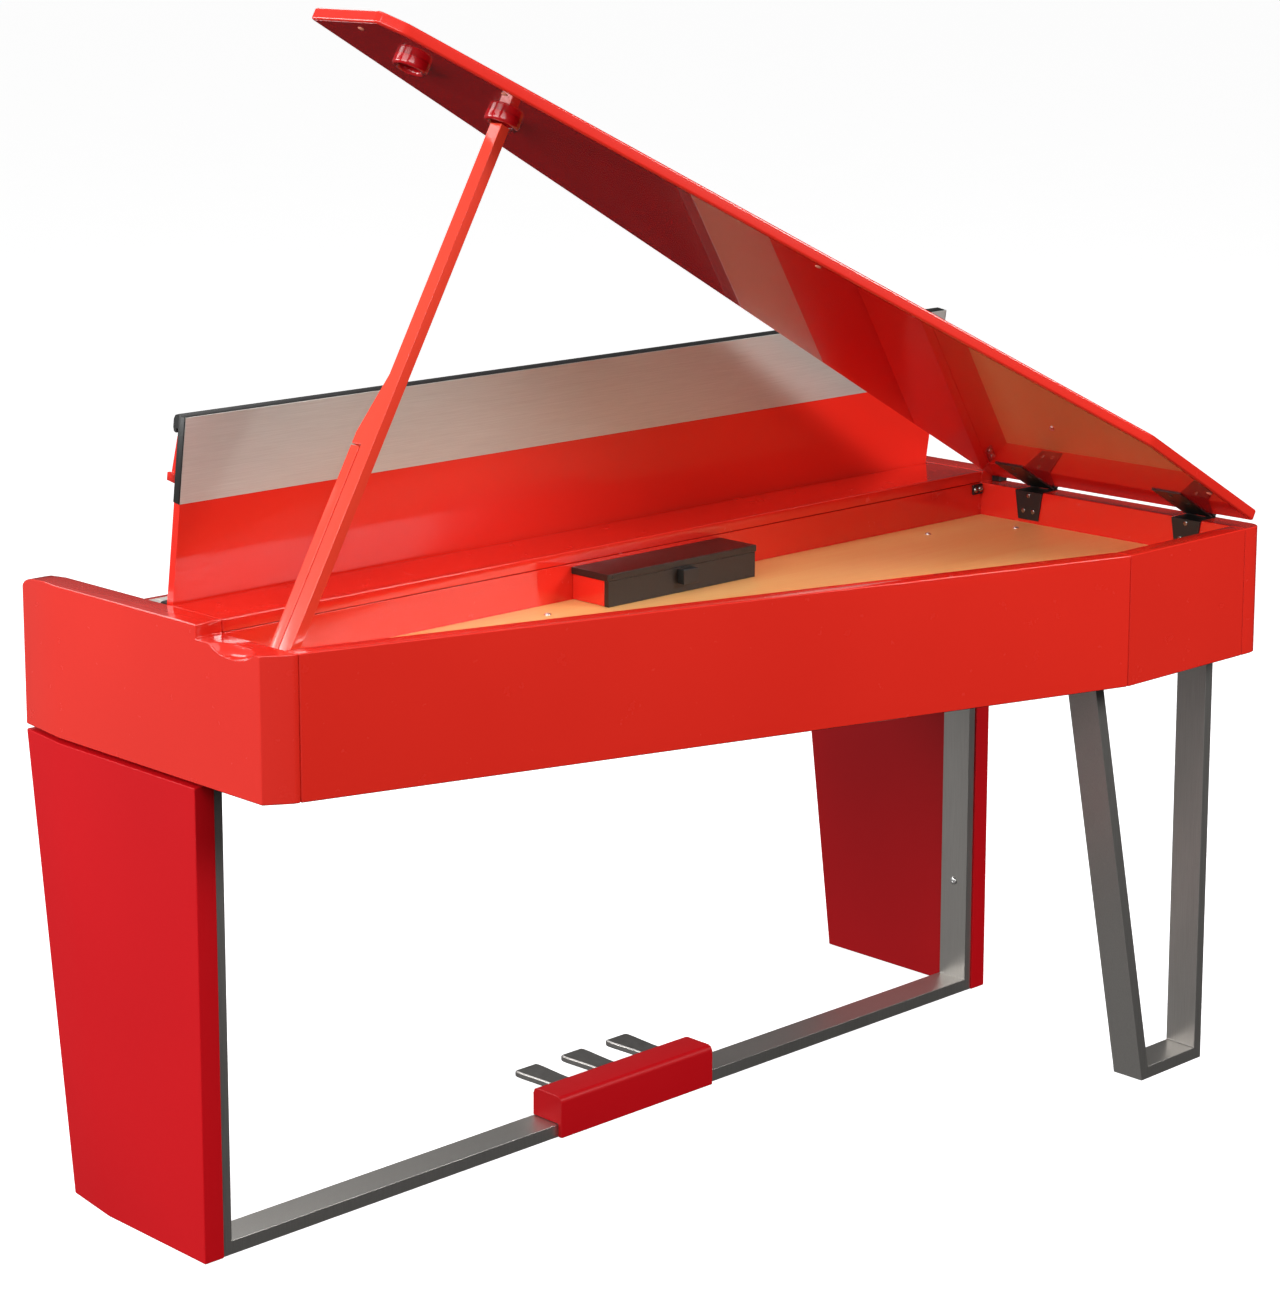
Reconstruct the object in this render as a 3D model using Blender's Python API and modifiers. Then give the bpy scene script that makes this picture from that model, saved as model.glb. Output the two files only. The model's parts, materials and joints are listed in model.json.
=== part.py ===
"""Digital grand piano with its lid propped open and its key cover leaning back.

Metres, +Z up. +X is the treble side, -Y is the player's side, +Y is the tail.
The origin lies on the floor under the middle of the case.
"""
import math

import bmesh
import bpy
from mathutils import Matrix, Vector

# Case
HALF_WIDTH = 0.740
HALF_DEPTH = 0.430
CASE_BOTTOM = 0.613
CASE_HEIGHT = 0.180
LID_STEP = 0.017
WALL = 0.040
PANEL_WALL = 0.027
FRONT_INSET = 0.012
FLARE_DEPTH = 0.091
CHAMFER_INSET = 0.032
CHAMFER_DEPTH = 0.020
TREBLE_SIDE_DEPTH = 0.507
TAIL_WIDTH = 0.296
SEAM_PAST_CHAMFER = 0.009
SPINE_CORNER_RADIUS = 0.018
CHEEK_ROUND_LENGTH = 0.060
CHEEK_ROUND_DROP = 0.016
SCOOP_BACK = 0.069
SCOOP_REACH = (0.024, 0.047, 0.018)
SCOOP_OFFSET = 0.004
BOTTOM_THICKNESS = 0.012
SOUNDBOARD_DROP = 0.048
SOUNDBOARD_THICKNESS = 0.008
BATTEN_HEIGHT = 0.018
BATTEN_WIDTH = 0.060
REAR_BATTEN_WIDTH = 0.030
EDGE = 0.0015
GAP = 0.0003
RIM_TOP = CASE_BOTTOM + CASE_HEIGHT
CHEEK_TOP = RIM_TOP + LID_STEP
INNER_X = HALF_WIDTH - WALL
FRONT_Y = -HALF_DEPTH
CHAMFER_FRONT_Y = FRONT_Y + TREBLE_SIDE_DEPTH
CHAMFER_REAR_X = HALF_WIDTH - CHAMFER_INSET
CHAMFER_REAR_Y = CHAMFER_FRONT_Y + CHAMFER_DEPTH
TAIL_CORNER_X = -HALF_WIDTH + TAIL_WIDTH
SOUNDBOARD_TOP = RIM_TOP - SOUNDBOARD_DROP
FLOOR_OF_CASE = CASE_BOTTOM + BOTTOM_THICKNESS

# Screws through the soundboard
BOARD_SCREW_HEAD_RADIUS = 0.0045
BOARD_SCREW_HEAD = 0.0018
BOARD_SCREW_SHANK = 0.002
BOARD_SCREW_INSET = 0.045
TREBLE_SCREW_X = 0.215
BASS_SCREW_INSET = 0.171
SIDE_SCREW_BACK = 0.104

# Shelf and beam behind the key cover
SHELF_BACK = 0.384
SHELF_DEPTH = 0.103
SHELF_THICKNESS = 0.0165
BEAM_DEPTH = 0.024
SHELF_REAR_Y = FRONT_Y + SHELF_BACK
SHELF_FRONT_Y = SHELF_REAR_Y - SHELF_DEPTH
SHELF_UNDER = CHEEK_TOP - SHELF_THICKNESS
BEAM_FRONT_Y = SHELF_REAR_Y - BEAM_DEPTH

# Keyboard
KEY_SLIP_DEPTH = 0.018
KEY_SLIP_UNDER_KEYS = 0.004
KEY_SLIP_SPACE = 0.007
WHITE_KEYS = 52
KEYBOARD_WIDTH = 1.225
KEY_LENGTH = 0.220
KEY_PIVOT_IN = 0.005
KEY_TOP_DROP = 0.041
KEY_HEIGHT = 0.015
KEY_PIVOT_DROP = 0.012
KEY_SPACE = 0.001
BLACK_KEY_WIDTH = 0.011
BLACK_KEY_BACK = 0.055
BLACK_KEY_CAP_LENGTH = 0.0915
BLACK_KEY_RISE = 0.0115
BLACK_KEY_EASE = 0.005
BLACK_KEY_SLOT_SPACE = 0.0008
SHARP_SHIFT = 0.0024
WHITE_COMB_DEPTH = 0.004
BLACK_COMB_DEPTH = 0.010
BLACK_COMB_HEIGHT = 0.006
BLACK_COMB_DROP = 0.0015
KEY_COMB_SPACE = 0.0012
KEY_FRAME_PLATE = 0.006
KEY_FRAME_RAIL_DROP = 0.0125
KEY_FRAME_RAIL_DEPTH = 0.020
KEY_FRAME_BACK = 0.010
BLOCK_RISE = 0.018
BLOCK_SPACE = 0.0015
PANEL_FRONT_SPACE = 0.003
PANEL_BACK = 0.005
PANEL_OVER_KEYS = 0.0055
PANEL_HEIGHT = 0.0225
CONTROL_WELL = 0.012
BUTTON_RADIUS = 0.007
BUTTON_TRAVEL_SPACE = 0.002
CONTROL_INSET = 0.0325
KNOB_RADIUS = 0.011
CONTROL_HEIGHT = 0.004
KEY_FRONT_Y = FRONT_Y + KEY_SLIP_DEPTH + KEY_SLIP_SPACE
KEY_REAR_Y = KEY_FRONT_Y + KEY_LENGTH
KEY_PIVOT_Y = KEY_REAR_Y - KEY_PIVOT_IN
KEY_TOP = RIM_TOP - KEY_TOP_DROP
KEY_UNDER = KEY_TOP - KEY_HEIGHT
KEY_SLIP_TOP = KEY_TOP - KEY_SLIP_UNDER_KEYS
BLACK_KEY_FRONT_Y = KEY_FRONT_Y + BLACK_KEY_BACK
BLACK_KEY_CAP_REAR_Y = BLACK_KEY_FRONT_Y + BLACK_KEY_CAP_LENGTH
BLOCK_TOP = KEY_TOP + BLOCK_RISE
PANEL_FRONT_Y = BLACK_KEY_CAP_REAR_Y + PANEL_FRONT_SPACE
PANEL_REAR_Y = KEY_REAR_Y + PANEL_BACK
PANEL_UNDER = KEY_TOP + PANEL_OVER_KEYS
PANEL_TOP = PANEL_UNDER + PANEL_HEIGHT
CONTROL_X = KEYBOARD_WIDTH / 2 - CONTROL_INSET

# Key cover
COVER_SIDE_SPACE = 0.005
COVER_AXIS_FORWARD = 0.012
COVER_AXIS_DROP = 0.008
COVER_LEAN = 8.5
COVER_THICKNESS = 0.012
COVER_TAIL = 0.008
COVER_LENGTH = 0.247
STRIP_BOTTOM = 0.137
STRIP_THICKNESS = 0.0012
LIP_HEIGHT = 0.0265
LIP_NOSE = 0.012
LIP_NOSE_HEIGHT = 0.024
COVER_PIN_RADIUS = 0.0025
COVER_PIN_REACH = 0.008
LEDGE_HEIGHT = 0.057
LEDGE_THICKNESS = 0.008
LEDGE_UNDER_LIP = 0.005
LEDGE_AXIS_OUT = 0.0125
LEDGE_TILT = 8.0
LEDGE_END_SPACE = 0.005
LEDGE_PIN_RADIUS = 0.0015
COVER_HALF_WIDTH = INNER_X - COVER_SIDE_SPACE
COVER_AXIS_Y = SHELF_FRONT_Y - COVER_AXIS_FORWARD
COVER_AXIS_Z = CHEEK_TOP - COVER_AXIS_DROP
LEDGE_AXIS_Z = COVER_LENGTH - LIP_NOSE_HEIGHT - LEDGE_UNDER_LIP - LEDGE_HEIGHT + LEDGE_THICKNESS / 2

# Lid and its fittings
LID_GAP = 0.0015
LID_THICKNESS = LID_STEP - LID_GAP
LID_FRONT_SPACE = 0.001
LID_SPINE_INSET = 0.020
LID_OPEN = 29.4
LID_AXIS_INSET = 0.008
LID_AXIS_RISE = 0.008
HINGE_FRONT_BACK = 0.0915
HINGE_REAR_IN = 0.101
HINGE_LENGTH = 0.050
HINGE_LEAF = 0.002
HINGE_DROP = 0.043
HINGE_BARREL_RADIUS = 0.0055
HINGE_PIN_RADIUS = 0.0025
HINGE_LID_REACH = 0.090
HINGE_RECESS_EDGE = 0.0045
CUP_OUTER_RADIUS = 0.023
CUP_INNER_RADIUS = 0.014
CUP_HEIGHT = 0.012
LOW_CUP_INSET = 0.102
LOW_CUP_FORWARD = 0.020
BUMPER_RADIUS = 0.006
BUMPER_HEIGHT = 0.0012
BUMPER_BACK = 0.076
LONG_BUMPER_INSETS = (0.180, 0.645)
TAIL_BUMPER_INSET = 0.120
LID_AXIS_X = -HALF_WIDTH + LID_AXIS_INSET
LID_AXIS_Z = RIM_TOP + LID_AXIS_RISE
LID_UNDER = RIM_TOP + LID_GAP
HINGE_Y = (SHELF_REAR_Y + HINGE_FRONT_BACK, HALF_DEPTH - HINGE_REAR_IN)

# Prop
PROP_PIN_INSET = 0.010
PROP_PIN_DROP = 0.022
PROP_PIN_RADIUS = 0.004
PROP_THICKNESS = 0.015
PROP_WIDTH = 0.021
PROP_BACK = 0.0935
HALF_PROP_WIDTH = 0.016
PROP_SIDE_SPACE = 0.0015
HALF_PROP_LENGTH = 0.276
PROP_TAPER_END = 0.370
PROP_BRACKET_LEAF = 0.0015
PROP_EAR = 0.0022
PROP_EAR_HEIGHT = 0.018
PROP_PIN_X = INNER_X - PROP_PIN_INSET
PROP_PIN_Z = RIM_TOP - PROP_PIN_DROP
PROP_Y = (SHELF_REAR_Y + PROP_BACK, SHELF_REAR_Y + PROP_BACK + PROP_WIDTH)
HALF_PROP_Y = (PROP_Y[0] - PROP_SIDE_SPACE - HALF_PROP_WIDTH, PROP_Y[0] - PROP_SIDE_SPACE)
CUP_Y = (PROP_Y[0] + PROP_Y[1]) / 2
LOW_CUP_Y = CUP_Y - LOW_CUP_FORWARD

# Box on the soundboard
MODULE_X = (-0.146, 0.132)
MODULE_DEPTH = 0.070
MODULE_TOP_DROP = 0.004
MODULE_PLATE = 0.009
MODULE_PANEL = 0.008
MODULE_INSET = 0.002
LATCH_SIZE = (0.028, 0.012, 0.020)
LATCH_X = -0.010
MODULE_REAR_Y = SHELF_REAR_Y + MODULE_DEPTH

# Legs
LEG_THICKNESS = 0.030
LEG_TOP_SPACE = 0.006
LEG_REAR_BACK = 0.375
LEG_FRONT_BACK = 0.078
FRAME_FORWARD = 0.003
FRAME_DEPTH = 0.050
FRAME_BAR = 0.013
FLOOR_BAR_HEIGHT = 0.018
TAIL_LEG_REAR_IN = 0.068
TAIL_LEG_SIDE_IN = 0.012
TAIL_LEG_BAR = 0.016
TAIL_LEG_FOOT_WIDTH = 0.138
TAIL_LEG_TOP_WIDTH = 0.271
SLANT_BAR = 0.018
LEG_SCREW_Z = (0.170,)
LEG_SCREW_RADIUS = 0.006
LEG_SCREW_HEAD = 0.003
LEG_SCREW_SHANK = 0.003
LEG_SCREW_REACH = 0.012
LEG_REAR_Y = FRONT_Y + LEG_REAR_BACK
LEG_FRONT_BOTTOM_Y = FRONT_Y + LEG_FRONT_BACK
FRAME_OUTER_X = HALF_WIDTH - LEG_THICKNESS - GAP
FRAME_REAR_Y = LEG_REAR_Y - FRAME_FORWARD
TAIL_LEG_REAR_Y = HALF_DEPTH - TAIL_LEG_REAR_IN
TAIL_LEG_OUTER_X = -HALF_WIDTH + TAIL_LEG_SIDE_IN
SLANT_FOOT_X = TAIL_LEG_OUTER_X + TAIL_LEG_FOOT_WIDTH
SLANT_TOP_X = TAIL_LEG_OUTER_X + TAIL_LEG_TOP_WIDTH

# Pedals
PEDAL_BOX_CENTRE_X = 0.003
PEDAL_BOX_WIDTH = 0.290
PEDAL_BOX_TOP = 0.058
PEDAL_BOX_ROUND = 0.008
PEDAL_BOX_REAR_WALL = 0.0077
PEDAL_PITCH = 0.0865
PEDAL_WIDTH = 0.042
PEDAL_NECK = 0.026
PEDAL_OUT = 0.080
PEDAL_AXLE_IN = 0.014
PEDAL_AXLE_Z = 0.045
PEDAL_AXLE_RADIUS = 0.003
PEDAL_AXLE_END = 0.015
PEDAL_THICKNESS = 0.009
PEDAL_CAVITY_UNDER = 0.028
PEDAL_CAVITY_ROOF = 0.0045
PEDAL_CAVITY_SPACE = 0.0015
PEDAL_TIP_Y = FRAME_REAR_Y - FRAME_DEPTH - PEDAL_OUT
PEDAL_AXLE_Y = FRAME_REAR_Y - PEDAL_AXLE_IN

# Electronics inside the case
SPEAKER_RADIUS = 0.085
SPEAKER_MOUTH = 0.070
SPEAKER_DEPTH = 0.058
SPEAKER_FLANGE = 0.004
TREBLE_SPEAKER_IN = 0.320
TREBLE_SPEAKER_BACK = 0.091
BASS_SPEAKER_IN = 0.260
BASS_SPEAKER_REAR_IN = 0.290
BOARD_THICKNESS = 0.0016
BOARD_WIDTH = 0.260
BOARD_DEPTH = 0.140
BOARD_X = -0.020
BOARD_BACK = 0.146
BOARD_RISE = 0.008
POST_RADIUS = 0.004
POST_INSET = 0.010
SUPPLY_SIZE = (0.140, 0.090, 0.045)
SUPPLY_SIDE_IN = 0.250
SUPPLY_REAR_IN = 0.130
INLET_SIZE = (0.030, 0.022, 0.030)
INLET_WALL = 0.003
INLET_SIDE_IN = 0.140
INLET_REAR_IN = 0.130
SPEAKER_PLACES = ((HALF_WIDTH - TREBLE_SPEAKER_IN, SHELF_REAR_Y + TREBLE_SPEAKER_BACK),
                  (-HALF_WIDTH + BASS_SPEAKER_IN, HALF_DEPTH - BASS_SPEAKER_REAR_IN))
INLET_PLACE = (-HALF_WIDTH + INLET_SIDE_IN, HALF_DEPTH - INLET_REAR_IN)

LACQUER = ((0.62, 0.035, 0.012), 0.12, 0.0)
LACQUER_DARK = ((0.36, 0.018, 0.010), 0.30, 0.0)
SATIN_STEEL = ((0.09, 0.075, 0.065), 0.42, 0.7)
BLACK_SATIN = ((0.012, 0.012, 0.012), 0.38, 0.2)
NICKEL = ((0.60, 0.57, 0.52), 0.28, 1.0)
TAN_WOOD = ((0.58, 0.25, 0.08), 0.50, 0.0)
RAW_WOOD = ((0.45, 0.30, 0.16), 0.65, 0.0)
IVORY = ((0.84, 0.82, 0.76), 0.25, 0.0)
EBONY = ((0.010, 0.010, 0.010), 0.30, 0.0)
POLISHED = ((0.20, 0.19, 0.18), 0.15, 1.0)
RUBBER_PALE = ((0.62, 0.58, 0.50), 0.70, 0.0)
CIRCUIT = ((0.02, 0.16, 0.06), 0.45, 0.0)
ALUMINIUM = ((0.55, 0.55, 0.56), 0.35, 1.0)


def clear_scene():
    for obj in list(bpy.data.objects):
        bpy.data.objects.remove(obj, do_unlink=True)


def new_collection(name):
    collection = bpy.data.collections.get(name)
    if collection is None:
        collection = bpy.data.collections.new(name)
        bpy.context.scene.collection.children.link(collection)
    return collection


def finish(obj, look, bevel=0.0, segments=1):
    """Give a piece its own material and, if asked, its eased edges."""
    colour, roughness, metallic = look
    material = bpy.data.materials.new(obj.name)
    material.use_nodes = True
    shader = material.node_tree.nodes["Principled BSDF"]
    shader.inputs["Base Color"].default_value = (*colour, 1.0)
    shader.inputs["Roughness"].default_value = roughness
    shader.inputs["Metallic"].default_value = metallic
    obj.data.materials.clear()
    obj.data.materials.append(material)
    if bevel:
        edges = obj.modifiers.new("eased_edges", "BEVEL")
        edges.width = bevel
        edges.segments = segments
        edges.limit_method = "ANGLE"
        edges.angle_limit = math.radians(40.0)
    return obj


def mesh_object(name, mesh_builder, collection, origin=(0.0, 0.0, 0.0)):
    """Link a new mesh object, built by mesh_builder in world coordinates."""
    bm = bmesh.new()
    mesh_builder(bm)
    bmesh.ops.translate(bm, verts=bm.verts, vec=-Vector(origin))
    mesh = bpy.data.meshes.new(name)
    bm.to_mesh(mesh)
    bm.free()
    obj = bpy.data.objects.new(name, mesh)
    obj.location = origin
    collection.objects.link(obj)
    return obj


def add_box(bm, x, y, z):
    """Add a box that spans the pairs x, y and z."""
    size = (x[1] - x[0], y[1] - y[0], z[1] - z[0])
    middle = ((x[0] + x[1]) / 2, (y[0] + y[1]) / 2, (z[0] + z[1]) / 2)
    place = Matrix.Translation(middle) @ Matrix.Diagonal((*size, 1.0))
    bmesh.ops.create_cube(bm, size=1.0, matrix=place)


def add_cylinder(bm, middle, axis, radius, length, sides=16):
    """Add a cylinder along axis, centred on middle."""
    turn = Vector(axis).to_track_quat("Z", "Y").to_matrix().to_4x4()
    bmesh.ops.create_cone(bm, cap_ends=True, segments=sides, radius1=radius, radius2=radius,
                          depth=length, matrix=Matrix.Translation(middle) @ turn)


def box(name, x, y, z, collection, origin=(0.0, 0.0, 0.0)):
    return mesh_object(name, lambda bm: add_box(bm, x, y, z), collection, origin)


def cylinder(name, middle, axis, radius, length, collection, sides=16):
    return mesh_object(name, lambda bm: add_cylinder(bm, middle, axis, radius, length, sides),
                       collection)


# How an outline's own plane lies in the world, by the axis that it is pushed along.
PLANES = {
    "Z": Matrix(((1, 0, 0, 0), (0, 1, 0, 0), (0, 0, 1, 0), (0, 0, 0, 1))),
    "X": Matrix(((0, 0, 1, 0), (1, 0, 0, 0), (0, 1, 0, 0), (0, 0, 0, 1))),
    "Y": Matrix(((1, 0, 0, 0), (0, 0, -1, 0), (0, 1, 0, 0), (0, 0, 0, 1))),
}


def outline(name, loops, axis, low, high, collection):
    """Push flat outlines along an axis, from low to high, as one mesh.

    Outline points are (x, y) for Z, (y, z) for X and (x, z) for Y. An inner loop is a hole.
    """
    curve = bpy.data.curves.new(name, "CURVE")
    curve.dimensions = "2D"
    curve.fill_mode = "BOTH"
    curve.extrude = (high - low) / 2
    for loop in loops:
        spline = curve.splines.new("POLY")
        spline.points.add(len(loop) - 1)
        for point, (u, v) in zip(spline.points, loop):
            point.co = (u, v, 0.0, 1.0)
        spline.use_cyclic_u = True
    guide = bpy.data.objects.new(name, curve)
    collection.objects.link(guide)
    middle = (low + high) / 2
    if axis == "Y":
        middle = -middle
    guide.matrix_world = PLANES[axis] @ Matrix.Translation((0.0, 0.0, middle))
    bpy.context.view_layer.update()
    evaluated = guide.evaluated_get(bpy.context.evaluated_depsgraph_get())
    mesh = bpy.data.meshes.new_from_object(evaluated)
    bm = bmesh.new()
    bm.from_mesh(mesh)
    bmesh.ops.remove_doubles(bm, verts=bm.verts, dist=0.00001)
    bmesh.ops.transform(bm, matrix=guide.matrix_world, verts=bm.verts)
    bmesh.ops.dissolve_limit(bm, angle_limit=math.radians(0.5), verts=bm.verts, edges=bm.edges)
    bmesh.ops.recalc_face_normals(bm, faces=bm.faces)
    bm.to_mesh(mesh)
    bm.free()
    bpy.data.objects.remove(guide, do_unlink=True)
    mesh.name = name
    obj = bpy.data.objects.new(name, mesh)
    collection.objects.link(obj)
    return obj


def set_origin(obj, origin):
    """Move a piece's origin without moving the piece."""
    obj.data.transform(Matrix.Translation(-Vector(origin)))
    obj.location = origin


def hide_cutter(cutter):
    cutter.hide_render = True
    cutter.display_type = "WIRE"
    return cutter


def boolean(obj, cutter, operation="DIFFERENCE"):
    """Cut, join or trim obj with a cutter and keep the modifier on it."""
    hide_cutter(cutter)
    change = obj.modifiers.new(cutter.name, "BOOLEAN")
    change.operation = operation
    change.solver = "EXACT"
    change.object = cutter
    return obj


def arc(centre, radius, start, end, steps):
    """Points on an arc, in degrees."""
    points = []
    for step in range(steps + 1):
        angle = math.radians(start + (end - start) * step / steps)
        points.append((centre[0] + radius * math.cos(angle), centre[1] + radius * math.sin(angle)))
    return points


def long_side_y(x, inward=0.0):
    """Y of the long rear side at x, measured inward from its outer face."""
    run = CHAMFER_REAR_X - TAIL_CORNER_X
    rise = HALF_DEPTH - CHAMFER_REAR_Y
    slope = rise / run
    along = CHAMFER_REAR_Y + (CHAMFER_REAR_X - x) * slope
    return along - inward * math.hypot(run, rise) / run


def long_side_x(y, inward=0.0):
    """X of the long rear side at y, measured inward from its outer face."""
    run = CHAMFER_REAR_X - TAIL_CORNER_X
    rise = HALF_DEPTH - CHAMFER_REAR_Y
    shifted = y + inward * math.hypot(run, rise) / run
    return CHAMFER_REAR_X - (shifted - CHAMFER_REAR_Y) * run / rise


def side_profile(rear_y):
    """Outline of a side wall, seen from the side: rounded at the front, with the lid's step."""
    front = -HALF_DEPTH
    points = [(front, CASE_BOTTOM)]
    for step in range(7):
        share = step / 6
        y = front + CHEEK_ROUND_LENGTH * (1.0 - math.sqrt(max(0.0, 1.0 - share * share)))
        points.append((y, CHEEK_TOP - CHEEK_ROUND_DROP * (1.0 - share)))
    points.append((SHELF_REAR_Y, CHEEK_TOP))
    points.append((SHELF_REAR_Y, RIM_TOP))
    points.append((rear_y, RIM_TOP))
    points.append((rear_y, CASE_BOTTOM))
    return points


def flare_front_y():
    return -HALF_DEPTH + FLARE_DEPTH


def make_sides(parts, cutters):
    seam_x = CHAMFER_REAR_X - SEAM_PAST_CHAMFER
    seam_y = long_side_y(seam_x)
    past = HALF_DEPTH + 0.05
    plan = [(HALF_WIDTH - FRONT_INSET, -HALF_DEPTH),
            (HALF_WIDTH, flare_front_y()),
            (HALF_WIDTH, CHAMFER_FRONT_Y),
            (CHAMFER_REAR_X, CHAMFER_REAR_Y),
            (seam_x, seam_y),
            (INNER_X, long_side_y(INNER_X, PANEL_WALL)),
            (INNER_X, -HALF_DEPTH)]
    cheek = outline("treble_cheek", [plan], "Z", CASE_BOTTOM, CHEEK_TOP, parts)
    trim = outline("cut_treble_profile", [side_profile(past)], "X", INNER_X - 0.05,
                   HALF_WIDTH + 0.05, cutters)
    boolean(cheek, trim, "INTERSECT")

    corner = (-HALF_WIDTH + SPINE_CORNER_RADIUS, HALF_DEPTH - SPINE_CORNER_RADIUS)
    plan = [(-HALF_WIDTH + FRONT_INSET, -HALF_DEPTH), (-INNER_X, -HALF_DEPTH), (-INNER_X, HALF_DEPTH)]
    plan += arc(corner, SPINE_CORNER_RADIUS, 90.0, 180.0, 4)
    plan.append((-HALF_WIDTH, flare_front_y()))
    spine = outline("bass_side_panel", [plan], "Z", CASE_BOTTOM, CHEEK_TOP, parts)
    trim = outline("cut_bass_profile", [side_profile(past)], "X", -HALF_WIDTH - 0.05,
                   -INNER_X + 0.05, cutters)
    boolean(spine, trim, "INTERSECT")

    # The outer edges are eased before the recesses and bores are cut.
    finish(cheek, LACQUER, EDGE)
    finish(spine, LACQUER, EDGE)

    # A finger scoop behind the lid's front corner, for lifting the lid.
    def dish(bm):
        place = Matrix.Translation((HALF_WIDTH + SCOOP_OFFSET, SHELF_REAR_Y + SCOOP_BACK, RIM_TOP + SCOOP_OFFSET))
        bmesh.ops.create_uvsphere(bm, u_segments=32, v_segments=16, radius=1.0,
                                  matrix=place @ Matrix.Diagonal((*SCOOP_REACH, 1.0)))

    boolean(cheek, mesh_object("cut_finger_scoop", dish, cutters))

    # Each hinge's leaves lie in a recess of the spine's top.
    floor = LID_UNDER - GAP - HINGE_LEAF - GAP - HINGE_LEAF - GAP
    for number, middle in enumerate(HINGE_Y):
        half = HINGE_LENGTH / 2 + GAP
        recess = box("cut_hinge_recess_%d" % (number + 1), (-HALF_WIDTH + HINGE_RECESS_EDGE, -INNER_X + 0.01),
                     (middle - half, middle + half), (floor, RIM_TOP + 0.01), cutters)
        boolean(spine, recess)

    # The key cover turns on a pin in each side.
    for obj, side in ((cheek, 1.0), (spine, -1.0)):
        reach = COVER_PIN_REACH + GAP
        bore = cylinder("cut_cover_pin_%s" % obj.name,
                        (side * (INNER_X + reach / 2 - 0.005), COVER_AXIS_Y, COVER_AXIS_Z),
                        (1, 0, 0), COVER_PIN_RADIUS + GAP, reach + 0.010, cutters)
        boolean(obj, bore)

    long_plan = [(seam_x - GAP, long_side_y(seam_x - GAP)),
                 (TAIL_CORNER_X + GAP, long_side_y(TAIL_CORNER_X + GAP)),
                 (TAIL_CORNER_X + GAP, long_side_y(TAIL_CORNER_X + GAP, PANEL_WALL)),
                 (seam_x - GAP, long_side_y(seam_x - GAP, PANEL_WALL))]
    panel = outline("long_rear_panel", [long_plan], "Z", CASE_BOTTOM, RIM_TOP, parts)
    finish(panel, LACQUER, EDGE)
    tail = box("tail_panel", (-INNER_X + GAP, TAIL_CORNER_X - GAP), (HALF_DEPTH - PANEL_WALL, HALF_DEPTH),
               (CASE_BOTTOM, RIM_TOP), parts)
    finish(tail, LACQUER, EDGE)


def inner_plan(front_y, space):
    """Plan of a board that fills the case behind front_y, a small space off the walls."""
    reach = INNER_X - space
    inset = PANEL_WALL + space
    rear_y = HALF_DEPTH - PANEL_WALL - space
    return [(-reach, front_y), (reach, front_y), (reach, long_side_y(reach, inset)),
            (long_side_x(rear_y, inset), rear_y), (-reach, rear_y)]


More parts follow.
